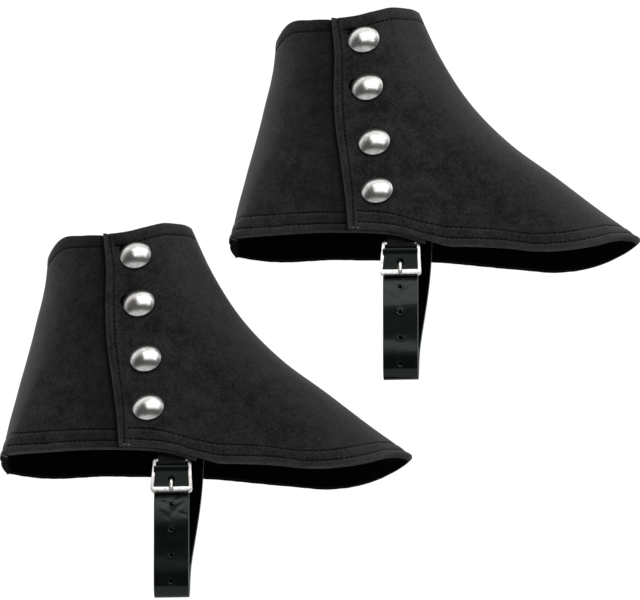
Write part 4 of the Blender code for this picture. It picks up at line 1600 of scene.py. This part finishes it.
@dataclass
class Buckle:
    """The flat wire frame and its prong."""

    hanging: Hanging
    wire_round: float = 0.42 * MM
    upper_corner: float = 1.3 * MM
    left_draw: float = 1.7 * MM
    right_draw: float = 0.8 * MM
    bead: float = 0.92 * MM
    swing: float = math.radians(5.0)
    prong_width: float = 2.3 * MM
    prong_thickness: float = 1.4 * MM
    prong_sides: int = 20

    @cached_property
    def frame(self) -> bmesh.types.BMesh:
        """The frame: a rounded outline, inset to a ring, thickened and smoothed."""
        h, bm = self.hanging, bmesh.new()
        width, height = h.frame_inner_width + 2 * h.wire, h.bars_apart + h.wire
        signs = (-1, -1), (1, -1), (1, 1), (-1, 1)
        corners = [bm.verts.new((across * width / 2, 0, up * height / 2)) for across, up in signs]
        bm.faces.new(corners)
        for radius, high in ((h.frame_corner, False), (self.upper_corner, True)):
            bmesh.ops.bevel(
                bm,
                geom=[v for v in bm.verts if v in corners[2 * high : 2 * high + 2]],
                offset=radius,
                offset_type="OFFSET",
                segments=8,
                profile=0.5,
                affect="VERTICES",
                material=-1,
            )
        bmesh.ops.inset_region(bm, faces=bm.faces[:], thickness=h.wire, use_even_offset=True, use_boundary=True)
        window = min(bm.faces, key=lambda f: f.calc_center_median().length)
        bar_top = [v for v in window.verts if v.co.z < 0]
        bmesh.ops.translate(bm, verts=bar_top, vec=(0, 0, h.lower_bar - h.wire))
        bmesh.ops.delete(bm, geom=[window], context="FACES")
        raised = bmesh.ops.extrude_face_region(bm, geom=bm.faces[:], use_keep_orig=True)
        moved = [v for v in raised["geom"] if isinstance(v, bmesh.types.BMVert)]
        bmesh.ops.translate(bm, verts=moved, vec=(0, h.frame_depth, 0))
        bmesh.ops.recalc_face_normals(bm, faces=bm.faces[:])
        rounded(bm, self.wire_round, 4, math.radians(60))
        for vertex in bm.verts:
            up = vertex.co.z / height + 0.5
            vertex.co.x -= up * (self.right_draw if vertex.co.x > 0 else -self.left_draw)
        bar_end = width / 2 - h.wire - self.right_draw - self.bead
        bead = Matrix.Translation((bar_end, h.frame_depth * 0.1, height / 2 - h.wire / 2))
        bmesh.ops.create_uvsphere(bm, u_segments=20, v_segments=12, radius=self.bead, matrix=bead)
        bar = (0, h.frame_depth / 2, height / 2 - h.wire / 2)
        bmesh.ops.rotate(bm, verts=bm.verts[:], cent=bar, matrix=Matrix.Rotation(-self.swing, 3, "X"))
        middle = (h.strap_x, h.hinge.x - h.frame_depth / 2, h.hinge.y - h.bars_apart / 2)
        bmesh.ops.translate(bm, verts=bm.verts[:], vec=middle)
        return bm

    def prong_line(self) -> Array:
        """The prong's line in (depth, height): round the upper bar, through the first hole, over the lower bar."""
        h = self.hanging
        hinge, foot = h.hinge, h.foot
        eye = h.bar_reach + h.form.piece_gap + h.prong_radius
        eye_points = [
            (hinge.x + eye * math.cos(a), hinge.y + eye * math.sin(a)) for a in np.linspace(0.6 * math.pi, 0.0, 6)
        ]
        swung = h.bars_apart * math.sin(self.swing)
        front = hinge.x - h.frame_depth / 2 - h.form.piece_gap - h.prong_radius - swung
        pin = [
            (hinge.x + eye - 0.0004, hinge.y - 0.0050),
            (hinge.x + 0.0016, hinge.y - 0.0092),
            (hinge.x + 0.0010, hinge.y - 0.0104),
            (hinge.x - 0.0024, hinge.y - 0.0120),
            (front + 0.0007, foot + 0.0044),
            (front + 0.0003, foot + 0.0022),
            (front - 0.0001, foot + 0.0002),
        ]
        points = np.array(eye_points + pin)
        gone = np.concatenate([[0], np.cumsum(np.linalg.norm(np.diff(points, axis=0), axis=1))])
        at = np.linspace(0, gone[-1], 90)
        return np.stack([curve(gone, points[:, 0], at), curve(gone, points[:, 1], at)], -1)

    @cached_property
    def prong(self) -> bmesh.types.BMesh:
        """The prong: an oval section carried along its line, widest where it shows."""
        line = self.prong_line()
        run = np.gradient(line, axis=0)
        run = run / np.linalg.norm(run, axis=1, keepdims=True)
        out = np.stack([run[:, 1], -run[:, 0]], -1)
        share = np.linspace(0, 1, len(line))
        wire = self.hanging.prong_radius * 2
        wide = wire + (self.prong_width - wire) * eased((share - 0.5) / 0.2)
        tip = np.sqrt(np.clip(1 - np.clip((share - 0.965) / 0.036, 0, 1) ** 2, 0.02, 1))
        bm = bmesh.new()
        rings = []
        for k, (y, z) in enumerate(line):
            matrix = Matrix(
                (
                    (wide[k] * tip[k], 0, 0, self.hanging.strap_x),
                    (0, self.prong_thickness * tip[k] * out[k, 0], run[k, 0], y),
                    (0, self.prong_thickness * tip[k] * out[k, 1], run[k, 1], z),
                    (0, 0, 0, 1),
                )
            )
            ring = bmesh.ops.create_circle(bm, cap_ends=False, segments=self.prong_sides, radius=0.5, matrix=matrix)
            rings.append([e for e in {e for v in ring["verts"] for e in v.link_edges}])
        for first, second in zip(rings, rings[1:]):
            bmesh.ops.bridge_loops(bm, edges=first + second)
        for end in (rings[0], rings[-1]):
            bmesh.ops.contextual_create(bm, geom=end)
        bmesh.ops.recalc_face_normals(bm, faces=bm.faces[:])
        return bm

    def build(self, stand: Stand, finishes: Finishes) -> None:
        """Makes the frame's and the prong's pieces."""
        for part, shape in (("frame", self.frame), ("prong", self.prong)):
            piece = add_piece(stand, f"{part}_metal", shape, (finishes.nickel,))
            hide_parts(f"{stand.name}_buckle_{part}")


@dataclass
class Spat:
    """The pieces of a spat, shaped once in their own frame: its cloth, thread, snaps, strap and buckle."""

    form: SpatForm = field(default_factory=SpatForm)
    columns: dict[Side, int] = field(default_factory=lambda: {Side.BACK: 150, Side.FRONT: 230, Side.INNER: 220})

    def __post_init__(self) -> None:
        """Sets out the pieces."""
        self.panels = {side: ClothPanel(self.form, side, self.columns[side]) for side in Side}
        self.stitching = Stitching(self.form, self.panels)
        hanging = Hanging(self.form)
        self.hung = (Strap(hanging), Tab(hanging), Buckle(hanging))

    def build(self, stand: Stand, finishes: Finishes) -> None:
        """Builds and dresses one spat of the pair.

        Args:
            stand: Its name and place.
            finishes: The shared finishes.
        """
        cloths = {side: panel.build(stand, finishes) for side, panel in self.panels.items()}
        threads = self.stitching.build(stand, finishes)
        for side, panel in self.panels.items():
            width, length, area = panel.flat_size
            log.info("%s %s flat %.4f x %.4f, %.5f m2", stand.name, side.value, width, length, area)
        ThreadEnds(self.panels[Side.FRONT]).build(stand, finishes)
        cap = SnapCap(self.form)
        for number, button in enumerate(BUTTONS, 1):
            cap.build(stand, number, button, finishes)
        for piece in self.hung:
            piece.build(stand, finishes)


@dataclass(frozen=True)
class Studio:
    """The camera at the photograph's angle, soft light, a white surround and a pale floor."""

    azimuth: float = math.radians(3)
    elevation: float = math.radians(-19)
    pixel: float = 0.5556 * MM
    origin_at: tuple[float, float] = (120.4, 244.4)
    image: tuple[int, int] = (640, 600)
    lens: float = 1500.0
    sensor: float = 36.0
    floor_z: float = -8.0
    floor_size: float = 80.0
    overhead_share: float = 0.45

    @property
    def back(self) -> Vector:
        """Unit vector from the object to the camera."""
        flat = math.cos(self.elevation)
        return Vector((math.sin(self.azimuth) * flat, -math.cos(self.azimuth) * flat, math.sin(self.elevation)))

    def add_camera(self) -> None:
        """Places the camera so that the lower ankle falls where the photograph has it."""
        data = bpy.data.cameras.new("camera")
        data.lens, data.sensor_width = self.lens, self.sensor
        camera = bpy.data.objects.new("camera", data)
        bpy.context.scene.collection.objects.link(camera)
        turn = (-self.back).to_track_quat("-Z", "Y")
        right, up = turn @ Vector((1, 0, 0)), turn @ Vector((0, 1, 0))
        aside = (self.image[0] / 2 - self.origin_at[0]) * self.pixel
        below = (self.image[1] / 2 - self.origin_at[1]) * self.pixel
        distance = self.lens / self.sensor * self.image[0] * self.pixel
        camera.location = right * aside - up * below + self.back * distance
        camera.rotation_mode = "QUATERNION"
        camera.rotation_quaternion = turn
        data.clip_end = self.floor_size * 2
        bpy.context.scene.camera = camera

    def add_softbox(self, name: str, place: Sequence[float], size: tuple[float, float], power: float) -> None:
        """Adds an area light that faces the pair."""
        data = bpy.data.lights.new(name, "AREA")
        data.shape = "RECTANGLE"
        data.size, data.size_y = size
        data.energy = power
        light = bpy.data.objects.new(name, data)
        bpy.context.scene.collection.objects.link(light)
        light.location = place
        aim = Vector((0.12, 0, 0)) - Vector(place)
        light.rotation_euler = aim.to_track_quat("-Z", "Y").to_euler()

    def add_surround(self) -> None:
        """The white surround, dimmer towards the camera's side."""
        world = bpy.data.worlds.new("surround")
        world.use_nodes = True
        bpy.context.scene.world = world
        tree = world.node_tree
        tree.nodes.clear()
        output = tree.nodes.new("ShaderNodeOutputWorld")
        light = tree.nodes.new("ShaderNodeBackground")
        light.inputs["Color"].default_value = (1, 1, 1, 1)
        where = tree.nodes.new("ShaderNodeTexCoord")
        split = tree.nodes.new("ShaderNodeSeparateXYZ")
        raised = tree.nodes.new("ShaderNodeMath")
        raised.operation = "MULTIPLY_ADD"
        raised.inputs[1].default_value = self.overhead_share
        shade = tree.nodes.new("ShaderNodeMapRange")
        shade.interpolation_type = "SMOOTHSTEP"
        for socket, value in (("From Min", -0.35), ("From Max", 0.45), ("To Min", 0.07), ("To Max", 1.05)):
            shade.inputs[socket].default_value = value
        tree.links.new(where.outputs["Generated"], split.inputs[0])
        tree.links.new(split.outputs["Z"], raised.inputs[0])
        tree.links.new(split.outputs["Y"], raised.inputs[2])
        tree.links.new(raised.outputs[0], shade.inputs["Value"])
        tree.links.new(shade.outputs["Result"], light.inputs["Strength"])
        tree.links.new(light.outputs[0], output.inputs["Surface"])

    def add_floor(self, finish: bpy.types.Material) -> None:
        """The pale floor, well under the hanging pair."""
        bm = bmesh.new()
        bmesh.ops.create_circle(bm, cap_ends=True, segments=96, radius=self.floor_size / 2)
        bmesh.ops.translate(bm, verts=bm.verts[:], vec=(0, 0, self.floor_z))
        mesh = bpy.data.meshes.new("floor")
        bm.to_mesh(mesh)
        bm.free()
        mesh.materials.append(finish)
        floor = bpy.data.objects.new("floor", mesh)
        bpy.context.scene.collection.objects.link(floor)

    def build(self) -> None:
        """Sets up the whole studio."""
        self.add_camera()
        self.add_surround()
        s = Shading("floor_paper")
        tone = s.mixed(s.noise(0.4, 2).between(0.2, 0.8), (0.78, 0.78, 0.78), (0.82, 0.82, 0.82))
        self.add_floor(s.finish({"Base Color": tone, "Roughness": 0.9, "Specular IOR Level": 0.1}))
        self.add_softbox("overhead_softbox", (0.42, -1.05, 1.15), (1.9, 1.45), 14.0)
        bpy.context.scene.view_settings.view_transform = "Standard"


def main() -> None:
    """Builds the pair round the frame."""
    logging.basicConfig(level=logging.INFO, format="%(message)s")
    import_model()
    finishes = Finishes.made()
    spat, ankle = Spat(), Vector((0.0, 0.006, 0.130))
    for name, place in (("lower", Vector((0.0, 0.0, 0.0))), ("upper", Vector((0.1268, 0.0, 0.1247)))):
        spat.build(Stand(name, place - ankle), finishes)
    Studio().build()


if __name__ == "__main__":
    main()
